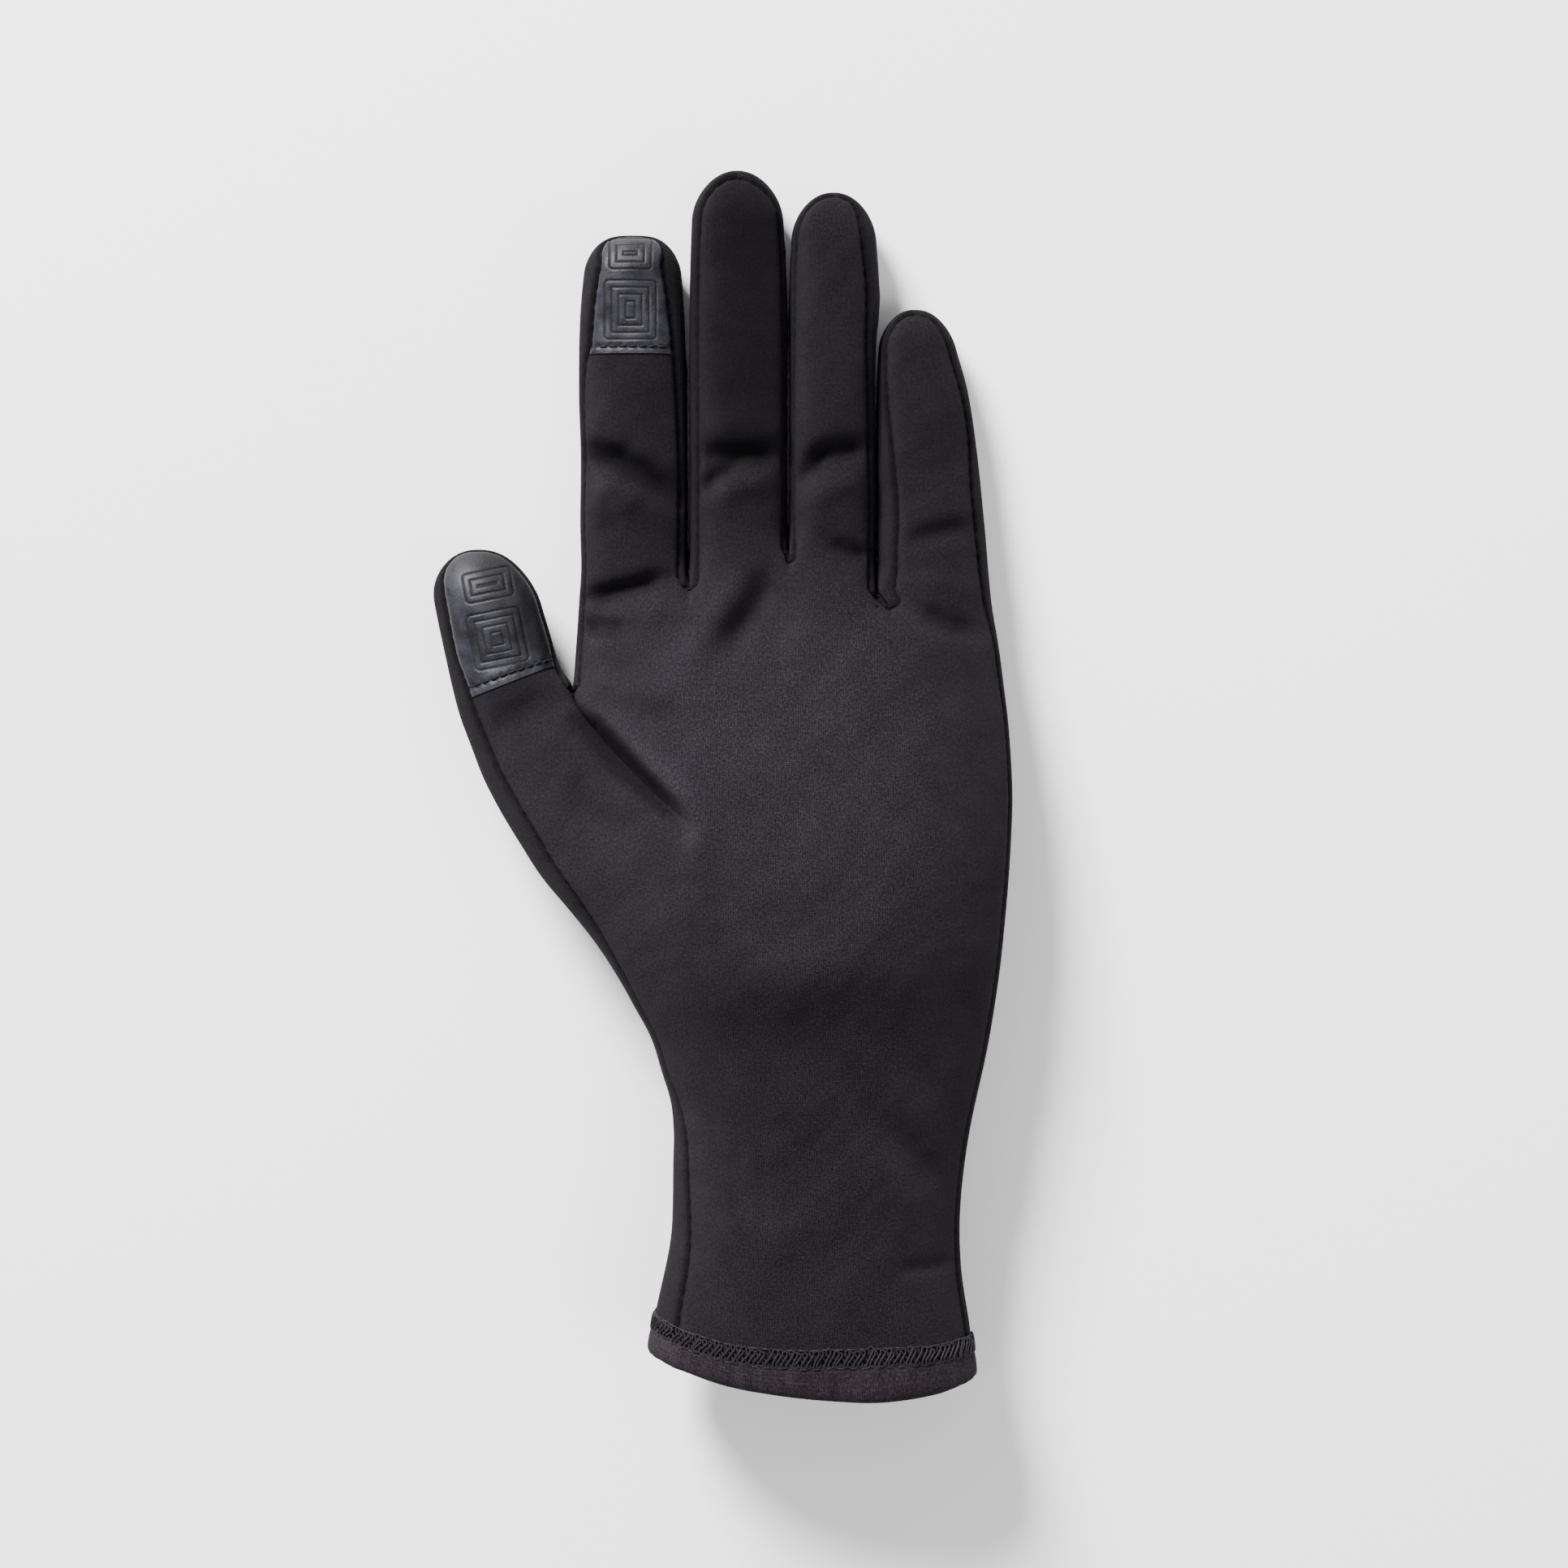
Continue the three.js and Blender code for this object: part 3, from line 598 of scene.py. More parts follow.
class Body:
    """The palm and cuff: grids above the thumb column's foot (upper) and below it (lower)."""

    def __init__(self):
        left_inset = np.full(len(upper_y), PALM_LEFT_INSET)
        self.left = Side("palm", -1, palm_left, upper_y, left_inset, gap=WEB_GAP)
        self.right = Side("palm", 1, outer_right, upper_y, palm_right_inset(upper_y))
        self.lower_left = Side("palm", -1, outer_left, lower_y, mound_inset(lower_y))
        self.lower_right = Side("palm", 1, outer_right, lower_y, palm_right_inset(lower_y))
        self.upper = strips(self.left, self.right)
        self.lower = strips(self.lower_left, self.lower_right)
        mound = np.stack([mound_line(lower_y), lower_y], -1)
        for side, face, key in ((1, "front", "top"), (-1, "back", "bottom")):
            a, b = getattr(self.left, face), getattr(self.right, face)
            c, d = getattr(self.lower_left, face), getattr(self.lower_right, face)
            at = np.array([split(ROOT) for split in splits])
            parts = (at - a[-1, 0]) / (b[-1, 0] - a[-1, 0])
            knots = [a, *(mix(a, b, part) for part in parts), b]
            low_knots = [c, mound, *(mix(mound, d, part) for part in parts), d]
            self.upper[key] = across(knots[::side], COLUMN_STEPS, "palm", side)
            self.lower[key] = across(low_knots[::side], COLUMN_STEPS, "palm", side)


body = Body()


# ---- seams pull the skin in ----
class Seams:
    """Every seam as points with the direction and the depth of its groove."""

    def __init__(self):
        self.points = []
        self.inward = []
        self.depth = []

    def add(self, grid, column, neighbour, neighbour_column, use):
        """The line where two grids meet: one column of each, over the rows in use."""
        line = grid[:, column]
        if use.sum() < 2:
            return
        normal = unit(normals(grid)[:, column]) + unit(normals(neighbour)[:, neighbour_column])
        line = line[use]
        inward = -unit(normal[use])
        run = run_along(line)
        fine = np.arange(0, run[-1], 0.25)
        puckers = 1 + 0.16 * np.sin(fine * 2.1) + 0.1 * np.sin(fine * 3.7 + 1)
        self.points.append(points_at(fine, run, line))
        self.inward.append(unit(points_at(fine, run, inward)))
        self.depth.append(SEAM_DEPTH * puckers)

    def build(self):
        points = np.concatenate(self.points)
        self.all_inward = np.concatenate(self.inward)
        self.all_depth = np.concatenate(self.depth)
        self.tree = KDTree(len(points))
        for i, point in enumerate(points):
            self.tree.insert(point, i)
        self.tree.balance()

    def pull(self, points):
        """The points moved into the grooves near them."""
        flat = points.reshape(-1, 3)
        moved = flat.copy()
        for i, point in enumerate(flat):
            _, nearest, away = self.tree.find(point)
            if away < 5 * SEAM_REACH:
                narrow = math.exp(-((away / SEAM_REACH) ** 2))
                wide = math.exp(-((away / SEAM_REACH / 2) ** 2))
                moved[i] = point + self.all_inward[nearest] * self.all_depth[nearest] * mix(wide, narrow, 0.7)
        return moved.reshape(points.shape)


def normals(grid):
    """Outward normals of a grid whose rows run along the glove."""
    return unit(np.cross(np.gradient(grid, axis=1), np.gradient(grid, axis=0)))


seams = Seams()
for name, column in columns.items():
    fork_left = name in ("middle", "ring", "little")
    fork_right = name in ("index", "middle", "ring")
    left, right = column.left_side, column.right_side
    seams.add(column.top, 0, column.left, -1, left.open)
    seams.add(column.top, -1, column.right, 0, right.open)
    if fork_left:
        seams.add(column.bottom, -1, column.left, 0, left.open)
    if fork_right:
        seams.add(column.bottom, 0, column.right, -1, right.open)
for grids, left, right in (
    (body.upper, body.left, body.right),
    (body.lower, body.lower_left, body.lower_right),
):
    seams.add(grids["top"], 0, grids["left"], -1, left.open)
    seams.add(grids["top"], -1, grids["right"], 0, right.open)
seams.build()


# ---- meshes ----
def shown(name, mesh, material):
    obj = bpy.data.objects.new(name, mesh)
    bpy.context.scene.collection.objects.link(obj)
    obj.data.materials.append(material)
    return obj


# Painted shade on the cuff and on the fingers, as tone levels against the palm's painted light at 1
CUFF_PAINTED_SHADE = 0.62
FINGER_PAINTED_SHADE = 0.48
MIDDLE_SHADE = 0.5  # painted shade on the middle finger's upper half
# painted shade on the thumb
THUMB_SHADE = 0.2
# painted shade in fold valleys and painted highlight on fold ridges
FOLD_PAINTED_SHADE_AND_LIGHT = 0.2
# painted shade in the seam grooves
SEAM_PAINTED_SHADE = 0.5
HEM_TONE = 1.0


def painted_light_and_shade(grid, pulled, relief_side):
    """Painted light and shade in the cloth's colour: a painted pool of light over the palm, painted shade
    towards the cuff, on the fingers, the thumb and the middle finger, painted shade in fold valleys and seam
    grooves and a painted highlight on fold ridges.
    """
    x = grid[..., 0]
    y = grid[..., 1]
    # a painted pool of light over the middle of the palm, with painted shade towards the cuff and the fingers
    painted_light_pool = np.exp(-(((x - 3) / 40) ** 4)) * smooth(y, -60, -10) * (1 - smooth(y, 2, 58))
    tone = mix(mix(CUFF_PAINTED_SHADE, FINGER_PAINTED_SHADE, smooth(y, 0, 60)), 1, painted_light_pool)
    # painted shade on the thumb
    tone = tone * (1 - THUMB_SHADE * smooth(x, -30, -40) * smooth(y, -6, 10))
    # painted shade on the middle finger's upper half
    tone = tone * (1 - MIDDLE_SHADE * np.exp(-(((x - 2.6) / 9) ** 4)) * smooth(y, 58, 74))
    if relief_side:
        # painted shade in fold valleys and painted highlight on fold ridges
        tone = tone * np.clip(1 + FOLD_PAINTED_SHADE_AND_LIGHT * fold_relief(x, y), 0.4, 1.3)
    # painted shade in the seam grooves
    return tone * (1 - SEAM_PAINTED_SHADE * np.clip(np.linalg.norm(pulled, axis=-1) / SEAM_DEPTH, 0, 1))


def closed_mesh(name, bm):
    mesh = bpy.data.meshes.new(name)
    bm.to_mesh(mesh)
    bm.free()
    return mesh


def grid_mesh(name, grids, own_tone=None):
    """One welded mesh from grids, with cloth coordinates in millimetres as its UV map.

    A grid that brings its own tone is already pulled into its seams.
    """
    bm = bmesh.new()
    uv = bm.loops.layers.uv.new("cloth")
    shade = bm.verts.layers.float.new("tone")
    for grid in grids:
        if min(grid.shape[:2]) < 2:
            continue
        u = run_along(grid, 1)
        middle = u.shape[1] // 2
        u = u - u[:, middle:middle + 1] + grid[:, middle:middle + 1, 0]
        v = grid[..., 1] + 0.35 * (grid[..., 2] - 15)
        rows, count = grid.shape[:2]
        # the tone attribute holds painted light and shade, which the materials multiply into the base colour
        if own_tone is None:
            pulled = seams.pull(grid)
            upward = normals(grid)[rows // 2, count // 2, 2] > 0.5
            shades = painted_light_and_shade(grid, pulled - grid, upward)
        else:
            pulled = grid
            shades = own_tone
        verts = [bm.verts.new(p) for p in place(pulled).reshape(-1, 3)]
        for vert, tone in zip(verts, shades.ravel()):
            vert[shade] = tone
        for i in range(rows - 1):
            for j in range(count - 1):
                corners = ((i, j), (i, j + 1), (i + 1, j + 1), (i + 1, j))
                face = bm.faces.new([verts[r * count + c] for r, c in corners])
                for loop, corner in zip(face.loops, corners):
                    loop[uv].uv = (u[corner], v[corner])
    bmesh.ops.remove_doubles(bm, verts=bm.verts, dist=2e-6)
    bmesh.ops.dissolve_degenerate(bm, edges=bm.edges, dist=1e-7)
    return closed_mesh(name, bm)


def thicken(obj, thickness):
    """Gives a sheet its thickness on the inner side, for good."""
    solid = obj.modifiers.new("thickness", "SOLIDIFY")
    solid.thickness = thickness * MM
    solid.offset = -1
    solid.use_even_offset = False
    graph = bpy.context.evaluated_depsgraph_get()
    mesh = bpy.data.meshes.new_from_object(obj.evaluated_get(graph))
    obj.modifiers.clear()
    obj.data = mesh
    finish_shading(mesh)


def finish_shading(mesh, degrees=38):
    for polygon in mesh.polygons:
        polygon.use_smooth = True
    mesh.set_sharp_from_angle(angle=math.radians(degrees))


def panel(name, grids, slot, bodies, band=None, nodes=()):
    """A piece of skin in its place, riding on its first body, or, when a band is given, left unparented with
    its placement baked in.
    """
    obj = shown(name, grid_mesh(name, grids), MATERIALS[slot])
    thicken(obj, WALL)
    settle(obj, bodies, band, nodes)


def settle(obj, bodies, band, nodes):
    if nodes:
        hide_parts(*nodes)
    if band is None:
        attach(obj, bodies[0])
    else:
        start, end = band
        tuple(place(start))
        tuple(place(end))
        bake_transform(obj)


# ---- materials ----
def new_material(name):
    material = bpy.data.materials.new(name)
    material.use_nodes = True
    tree = material.node_tree
    return material, tree, tree.nodes["Principled BSDF"]


def add_node(tree, kind, inputs=None, **settings):
    node = tree.nodes.new(kind)
    for key, value in settings.items():
        setattr(node, key, value)
    for key, value in (inputs or {}).items():
        if isinstance(value, bpy.types.NodeSocket):
            tree.links.new(value, node.inputs[key])
        else:
            node.inputs[key].default_value = value
    return node


def math_node(tree, operation, *values):
    return add_node(tree, "ShaderNodeMath", dict(enumerate(values)), operation=operation).outputs[0]


def noise(tree, vector, scale, detail, roughness=0.5):
    inputs = {"Vector": vector, "Scale": scale, "Detail": detail, "Roughness": roughness}
    return add_node(tree, "ShaderNodeTexNoise", inputs).outputs[0]


def colours(tree, factor, dark, light, span):
    ramp = add_node(tree, "ShaderNodeValToRGB", {0: factor})
    ramp.color_ramp.elements[0].position = span[0]
    ramp.color_ramp.elements[1].position = span[1]
    ramp.color_ramp.elements[0].color = (*dark, 1)
    ramp.color_ramp.elements[1].color = (*light, 1)
    return ramp.outputs[0]


def tint(tree, shader, factor, colour, dark, light, span=(0.3, 0.7), tone=None):
    """Base colour between a darker and a lighter share of a colour, scaled by the mesh's tone attribute,
    which holds painted light and shade.
    """
    ramp = colours(tree, factor, [c * dark for c in colour], [c * light for c in colour], span)
    if tone is not None:
        ramp = add_node(tree, "ShaderNodeVectorMath", {0: ramp, "Scale": tone}, operation="SCALE").outputs[0]
    tree.links.new(ramp, shader.inputs["Base Color"])


def mesh_tone(tree):
    return add_node(tree, "ShaderNodeAttribute", attribute_name="tone").outputs["Fac"]


def set_bump(tree, shader, height, strength, distance):
    bump = add_node(tree, "ShaderNodeBump", {"Height": height, "Strength": strength, "Distance": distance})
    tree.links.new(bump.outputs[0], shader.inputs["Normal"])


def set_sheen(shader, weight, specular):
    shader.inputs["Sheen Weight"].default_value = weight
    shader.inputs["Specular IOR Level"].default_value = specular


WALE = 0.46  # width of a column of stitches
COURSE = 0.36  # height of a stitch


def knit(name, colour):
    """Fine stretch knit: columns of small V stitches, mottled, with a soft sheen."""
    material, tree, shader = new_material(name)
    cloth = add_node(tree, "ShaderNodeUVMap", uv_map="cloth").outputs[0]
    axes = add_node(tree, "ShaderNodeSeparateXYZ", {0: cloth})
    wander = noise(tree, cloth, 0.25, 2.0)
    across_wale = math_node(tree, "MULTIPLY_ADD", wander, 0.9, axes.outputs[0])
    column = math_node(tree, "PINGPONG", across_wale, WALE / 2)
    slant = math_node(tree, "MULTIPLY_ADD", column, 1.4, axes.outputs[1])
    loops = math_node(tree, "SINE", math_node(tree, "MULTIPLY", slant, 2 * math.pi / COURSE))
    ridge = math_node(tree, "SINE", math_node(tree, "MULTIPLY", column, 2 * math.pi / WALE))
    height = math_node(tree, "MULTIPLY", math_node(tree, "MULTIPLY_ADD", loops, 0.3, 0.7), ridge)
    grain = noise(tree, cloth, 2.0, 2.0, 0.8)
    mottle = noise(tree, cloth, 0.09, 5.0, 0.6)
    shade = math_node(tree, "MULTIPLY_ADD", grain, 0.7, math_node(tree, "MULTIPLY", mottle, 0.14))
    # the stitch relief also darkens the colour between the stitches: painted shade
    shade = math_node(tree, "MULTIPLY_ADD", height, 0.2, shade)
    tint(tree, shader, shade, colour, 0.4, 1.6, (0.41, 0.68), mesh_tone(tree))
    set_bump(tree, shader, math_node(tree, "MULTIPLY_ADD", grain, 0.8, height), 1.0, 0.00025)
    rough = math_node(tree, "MULTIPLY_ADD", grain, 0.14, 0.74)
    tree.links.new(rough, shader.inputs["Roughness"])
    set_sheen(shader, 0.02, 0.03)
    shader.inputs["Sheen Roughness"].default_value = 0.45
    shader.inputs["Sheen Tint"].default_value = (0.82, 0.78, 0.86, 1)
    return material


def leather(name, colour):
    """Thin coated synthetic leather, semi-gloss, rubbed lighter in places."""
    material, tree, shader = new_material(name)
    cloth = add_node(tree, "ShaderNodeUVMap", uv_map="cloth").outputs[0]
    pores = add_node(tree, "ShaderNodeTexVoronoi", {"Vector": cloth, "Scale": 3.2}).outputs["Distance"]
    grain = noise(tree, cloth, 2.4, 5.0, 0.65)
    wear = noise(tree, cloth, 0.3, 4.0)
    shade = math_node(tree, "MULTIPLY_ADD", grain, 0.4, math_node(tree, "MULTIPLY", wear, 0.6))
    tone = mesh_tone(tree)
    tint(tree, shader, shade, colour, 0.45, 1.8, (0.4, 0.62), tone)
    set_bump(tree, shader, math_node(tree, "MULTIPLY_ADD", pores, 0.6, grain), 0.35, 0.00012)
    worn = math_node(tree, "MULTIPLY_ADD", wear, 0.3, 0.65)
    rough = math_node(tree, "MULTIPLY_ADD", tone, -0.33, worn)
    tree.links.new(rough, shader.inputs["Roughness"])
    shader.inputs["Specular IOR Level"].default_value = 0.18
    return material


def sewing_thread(name, colour):
    """Spun polyester: fine twist and a dull shine."""
    material, tree, shader = new_material(name)
    where = add_node(tree, "ShaderNodeTexCoord").outputs["Object"]
    fuzz = noise(tree, where, 2500.0, 3.0)
    tint(tree, shader, fuzz, colour, 0.7, 1.3)
    set_bump(tree, shader, fuzz, 0.4, 0.00008)
    shader.inputs["Roughness"].default_value = 0.6
    set_sheen(shader, 0.03, 0.08)
    return material


MATERIALS = {
    "palm_knit": knit("palm_knit", (0.0228, 0.0182, 0.0234)),
    # darker than the palm knit: painted shade on the back and the side strips
    "back_knit": knit("back_knit", (0.0185, 0.0148, 0.0188)),
    # darker still: painted shade on the fork strips between the fingers
    "fork_knit": knit("fork_knit", (0.0160, 0.0125, 0.0165)),
    "hem_knit": knit("hem_knit", (0.0250, 0.0182, 0.0240)),
    "pad_leather": leather("pad_leather", (0.0088, 0.0085, 0.0122)),
    "thread": sewing_thread("thread", (0.0132, 0.0101, 0.0143)),
    "pad_thread": sewing_thread("pad_thread", (0.0045, 0.004, 0.005)),
}


# ---- camera, light and floor ----
VIEW_CENTRE = np.array([12.0, -0.75, 16.0])  # millimetres in the glove's own frame
VIEW_WIDTH = 322.0
CAMERA_HEIGHT = 1200.0
camera_data = bpy.data.cameras.new("camera")
camera_data.sensor_width = 36.0
camera_data.lens = 36.0 * CAMERA_HEIGHT / VIEW_WIDTH
camera = bpy.data.objects.new("camera", camera_data)
camera.location = place(VIEW_CENTRE + np.array([0, 0, CAMERA_HEIGHT]))
bpy.context.scene.collection.objects.link(camera)
bpy.context.scene.camera = camera


def softbox(name, location, size, power):
    light = bpy.data.lights.new(name, "AREA")
    light.shape = "DISK"
    light.size = size
    light.energy = power
    obj = bpy.data.objects.new(name, light)
    obj.location = location
    bpy.context.scene.collection.objects.link(obj)
    obj.rotation_euler = (-obj.location).to_track_quat("-Z", "Y").to_euler()


softbox("key", (-0.8, 1.4, 1.05), 0.7, 180.0)
softbox("fill", (1.1, -0.7, 1.5), 1.4, 22.0)
world = bpy.data.worlds.new("studio")
world.use_nodes = True
world.node_tree.nodes["Background"].inputs[0].default_value = (1, 1, 1, 1)
world.node_tree.nodes["Background"].inputs[1].default_value = 0.7
bpy.context.scene.world = world

FLOOR_REACH = 20.0  # metres to each side
floor_mesh = bpy.data.meshes.new("floor")
floor_corners = [(sx * FLOOR_REACH, sy * FLOOR_REACH, 0) for sx, sy in ((-1, -1), (1, -1), (1, 1), (-1, 1))]
floor_mesh.from_pydata(floor_corners, [], [(0, 1, 2, 3)])
floor_material, _, floor_shader = new_material("floor")
floor_shader.inputs["Base Color"].default_value = (0.93, 0.93, 0.93, 1)
floor_shader.inputs["Roughness"].default_value = 0.9
floor_shader.inputs["Specular IOR Level"].default_value = 0.1
floor = shown("floor", floor_mesh, floor_material)


# ---- panels of the palm, back and cuff ----
def rows_between(y, low, high):
    return slice(int(np.searchsorted(y, low - 1e-6)), int(np.searchsorted(y, high + 1e-6)))


cuff_rows = rows_between(lower_y, CUFF + HEM - 0.8, WRIST)
heel_rows = rows_between(lower_y, WRIST, MOUND)
open_rows = slice(int(np.argmax(body.left.open)), None)
palm_parts = [body.upper["top"], body.lower["top"][heel_rows]]
panel("palm_panel", palm_parts, "palm_knit", ["palm"], nodes=["palm_panel"])
back_parts = [
    body.upper["bottom"], body.upper["right"], body.upper["left"][open_rows],
    *(body.lower[key][heel_rows] for key in ("right", "bottom", "left")),
]
panel("back_panel", back_parts, "back_knit", ["palm"], nodes=["back_panel"])
WRIST_BAND = ((0, -56, 0), (0, -70, 0))
panel("cuff_front", [body.lower["top"][cuff_rows]], "palm_knit", ["palm", "cuff"], WRIST_BAND, ["cuff_front"])
cuff_back = [body.lower[key][cuff_rows] for key in ("right", "bottom", "left")]
panel("cuff_back", cuff_back, "back_knit", ["palm", "cuff"], WRIST_BAND, ["cuff_back"])


# ---- the hem: the cuff's edge folded inside, and the stitches that hold it ----
RISE = 2.0  # how much deeper the band is at the middle of the front and the back
HEM_CELL = 0.6  # one cell of the hem's grid in the weave's coordinates


class Rim:
    """The ring of skin at the cuff, by the share of the way round it and the height above its edge."""

    def __init__(self, depth):
        rows = rows_between(lower_y, CUFF, CUFF + depth)
        around = [body.lower[key][rows][:, :-1] for key in ("top", "right", "bottom", "left")]
        self.ring = np.concatenate(around, 1)
        self.above = lower_y[rows] - CUFF
        tangent = np.roll(self.ring, -1, 1) - np.roll(self.ring, 1, 1)
        self.out = unit(np.stack([-tangent[..., 2], 0 * tangent[..., 0], tangent[..., 0]], -1))
        self.count = self.ring.shape[1]
        self.run = run_along(np.concatenate([self.ring[-1], self.ring[-1][:1]]))
        self.length = self.run[-1]

    def at(self, round_share, height, lift):
        """Points at shares of the way round, heights above the edge and lifts off the skin."""
        place_round = np.interp(np.mod(round_share, 1) * self.length, self.run, np.arange(self.count + 1))
        i = np.floor(place_round).astype(int)
        crest = np.sin(2 * np.pi * i / self.count - 0.2) ** 2
        height = height + RISE * crest * smooth(height, 0.5, 5.5)
        row = np.interp(height, self.above, np.arange(len(self.above)))
        j = np.minimum(np.floor(row).astype(int), len(self.above) - 2)
        a = (place_round - i)[..., None]
        b = (row - j)[..., None]
        i0 = i % self.count
        i1 = (i + 1) % self.count
        lower = mix(self.ring[j, i0], self.ring[j, i1], a)
        upper = mix(self.ring[j + 1, i0], self.ring[j + 1, i1], a)
        spot = mix(lower, upper, b)
        out = unit(mix(self.out[j, i0], self.out[j, i1], a))
        return spot + out * np.asarray(lift)[..., None]


def loop_mesh(name, grid):
    """A mesh from a grid that closes on itself both ways."""
    rows, count = grid.shape[:2]
    bm = bmesh.new()
    uv = bm.loops.layers.uv.new("cloth")
    shade = bm.verts.layers.float.new("tone")
    verts = [bm.verts.new(p) for p in place(grid).reshape(-1, 3)]
    for vert in verts:
        vert[shade] = HEM_TONE
    u = np.cumsum(np.linalg.norm(grid[0] - np.roll(grid[0], 1, 0), axis=-1))
    v = np.cumsum(np.linalg.norm(grid[:, 0] - np.roll(grid[:, 0], 1, 0), axis=-1))
    for i in range(rows):
        for j in range(count):
            below, beside = (i + 1) % rows, (j + 1) % count
            corners = ((i, j), (i, beside), (below, beside), (below, j))
            face = bm.faces.new([verts[r * count + c] for r, c in corners])
            for loop, (di, dj) in zip(face.loops, ((0, 0), (0, 1), (1, 1), (1, 0))):
                loop[uv].uv = (u[j] + dj * HEM_CELL, v[i] + di * HEM_CELL)
    return closed_mesh(name, bm)


def thread_mesh(name, paths, radius):
    """Round thread along open or closed paths; a closed path repeats its first point."""
    sides = 5
    bm = bmesh.new()
    for path in paths:
        path = np.asarray(path)
        closed = np.allclose(path[0], path[-1])
        core = path[:-1] if closed else path
        if closed:
            tangent = unit(np.roll(core, -1, 0) - np.roll(core, 1, 0))
        else:
            tangent = unit(np.gradient(core, axis=0))
        side = unit(np.cross(tangent, (0.05, 0.02, 1.0)))
        up = np.cross(side, tangent)
        angle = np.linspace(0, 2 * np.pi, sides, endpoint=False)
        rings = core[:, None] + radius * (
            side[:, None] * np.cos(angle)[None, :, None] + up[:, None] * np.sin(angle)[None, :, None]
        )
        verts = [[bm.verts.new(p) for p in ring] for ring in place(rings)]
        spans = len(core) if closed else len(core) - 1
        for i in range(spans):
            a, b = verts[i], verts[(i + 1) % len(core)]
            for k in range(sides):
                m = (k + 1) % sides
                bm.faces.new((a[k], a[m], b[m], b[k]))
        if not closed:
            bm.faces.new(verts[0][::-1])
            bm.faces.new(verts[-1])
    bmesh.ops.recalc_face_normals(bm, faces=bm.faces)
    return closed_mesh(name, bm)


def stitches(name, paths, radius, bodies, band, material):
    """A thread piece that takes the place of the CAD node of the same name."""
    obj = shown(name, thread_mesh(name, paths, radius), MATERIALS[material])
    finish_shading(obj.data, 60)
    settle(obj, bodies, band, [name])


rim = Rim(HEM + 9)
# (height above the edge, lift off the skin) from the stitched top down the outside, round and up inside.
HEM_PROFILE = (
    (6.1, -0.35), (5.9, 0.0), (5.4, 0.22), (4.6, 0.36), (3.6, 0.42), (2.6, 0.44), (1.7, 0.42), (1.0, 0.3),
    (0.45, 0.02), (0.12, -0.4), (0.0, -0.85), (0.12, -1.3), (0.45, -1.7), (1.0, -1.95), (2.0, -2.05),
    (4.0, -2.05), (6.5, -2.05), (8.8, -2.05), (9.1, -1.6), (8.8, -1.15), (6.5, -1.1),
)
hem_steps = 340
way_round = np.arange(hem_steps) / hem_steps
hem_grid = []
for height, lift in HEM_PROFILE:
    puff = 0.07 * np.sin(way_round * rim.length * 1.9) + 0.06 * np.sin(way_round * rim.length * 0.83 + 1)
    wave = lift + puff * (1 if lift > -0.5 else 0.3)
    hem_grid.append(rim.at(way_round, np.full(hem_steps, height), wave))
hem_obj = shown("hem_band", loop_mesh("hem_band", np.array(hem_grid)[::-1]), MATERIALS["hem_knit"])
finish_shading(hem_obj.data, 60)
settle(hem_obj, ["cuff"], None, ["hem_band"])

LOOP_PITCH = 1.05
loop_count = round(rim.length / LOOP_PITCH)
turn = np.linspace(0, 1, loop_count * 12 + 1)
phase = turn * loop_count * 2 * np.pi
SWAYS = ((17, 0, 0.4), (41, 1, 0.35), (73, 2, 0.35))  # the thread's unevenness: waves, phase, size
sway = sum(size * np.sin(turn * 2 * np.pi * waves + start) for waves, start, size in SWAYS)
cover_round = turn + (0.62 * np.sin(2 * phase) + 0.55 * sway) / rim.length
cover_height = HEM + 0.95 + (1.7 + 0.4 * sway) * np.sin(phase) + 0.25 * sway
cover = rim.at(cover_round, cover_height, 0.34 + 0.16 * np.cos(phase))
cover[-1] = cover[0]


STITCH_SHARE = np.linspace(0.11, 0.89, 6)  # how a stitch runs from one needle hole to the next
STITCH_LIFT = 0.12  # height of the needle holes over the skin
STITCH_BOW = np.array([-0.25, 0.12, 0.2, 0.2, 0.12, -0.25])  # and rises out of the cloth


def dashes(spots, outs):
    """A row of stitches between needle holes, given the outward direction at each hole."""
    return [
        mix(a, b, STITCH_SHARE[:, None]) + out * STITCH_BOW[:, None]
        for a, b, out in zip(spots, spots[1:], outs)
    ]


NEEDLE_STITCHES = 64  # in each of the two needle rows round the cuff


def needle_row(height):
    way = np.arange(NEEDLE_STITCHES + 1) / NEEDLE_STITCHES
    level = np.full(len(way), height)
    skin = rim.at(way, level, 0 * way)
    out = rim.at(way, level, 0 * way + 1) - skin
    return dashes(skin + out * STITCH_LIFT, out)


hem_threads = [cover, *needle_row(HEM - 0.9), *needle_row(HEM + 2.8)]
stitches("hem_coverstitch", hem_threads, 0.2, ["cuff"], None, "thread")


# ---- the fingers ----
def band_points(band):
    return (0, band[0], 0), (0, band[1], 0)


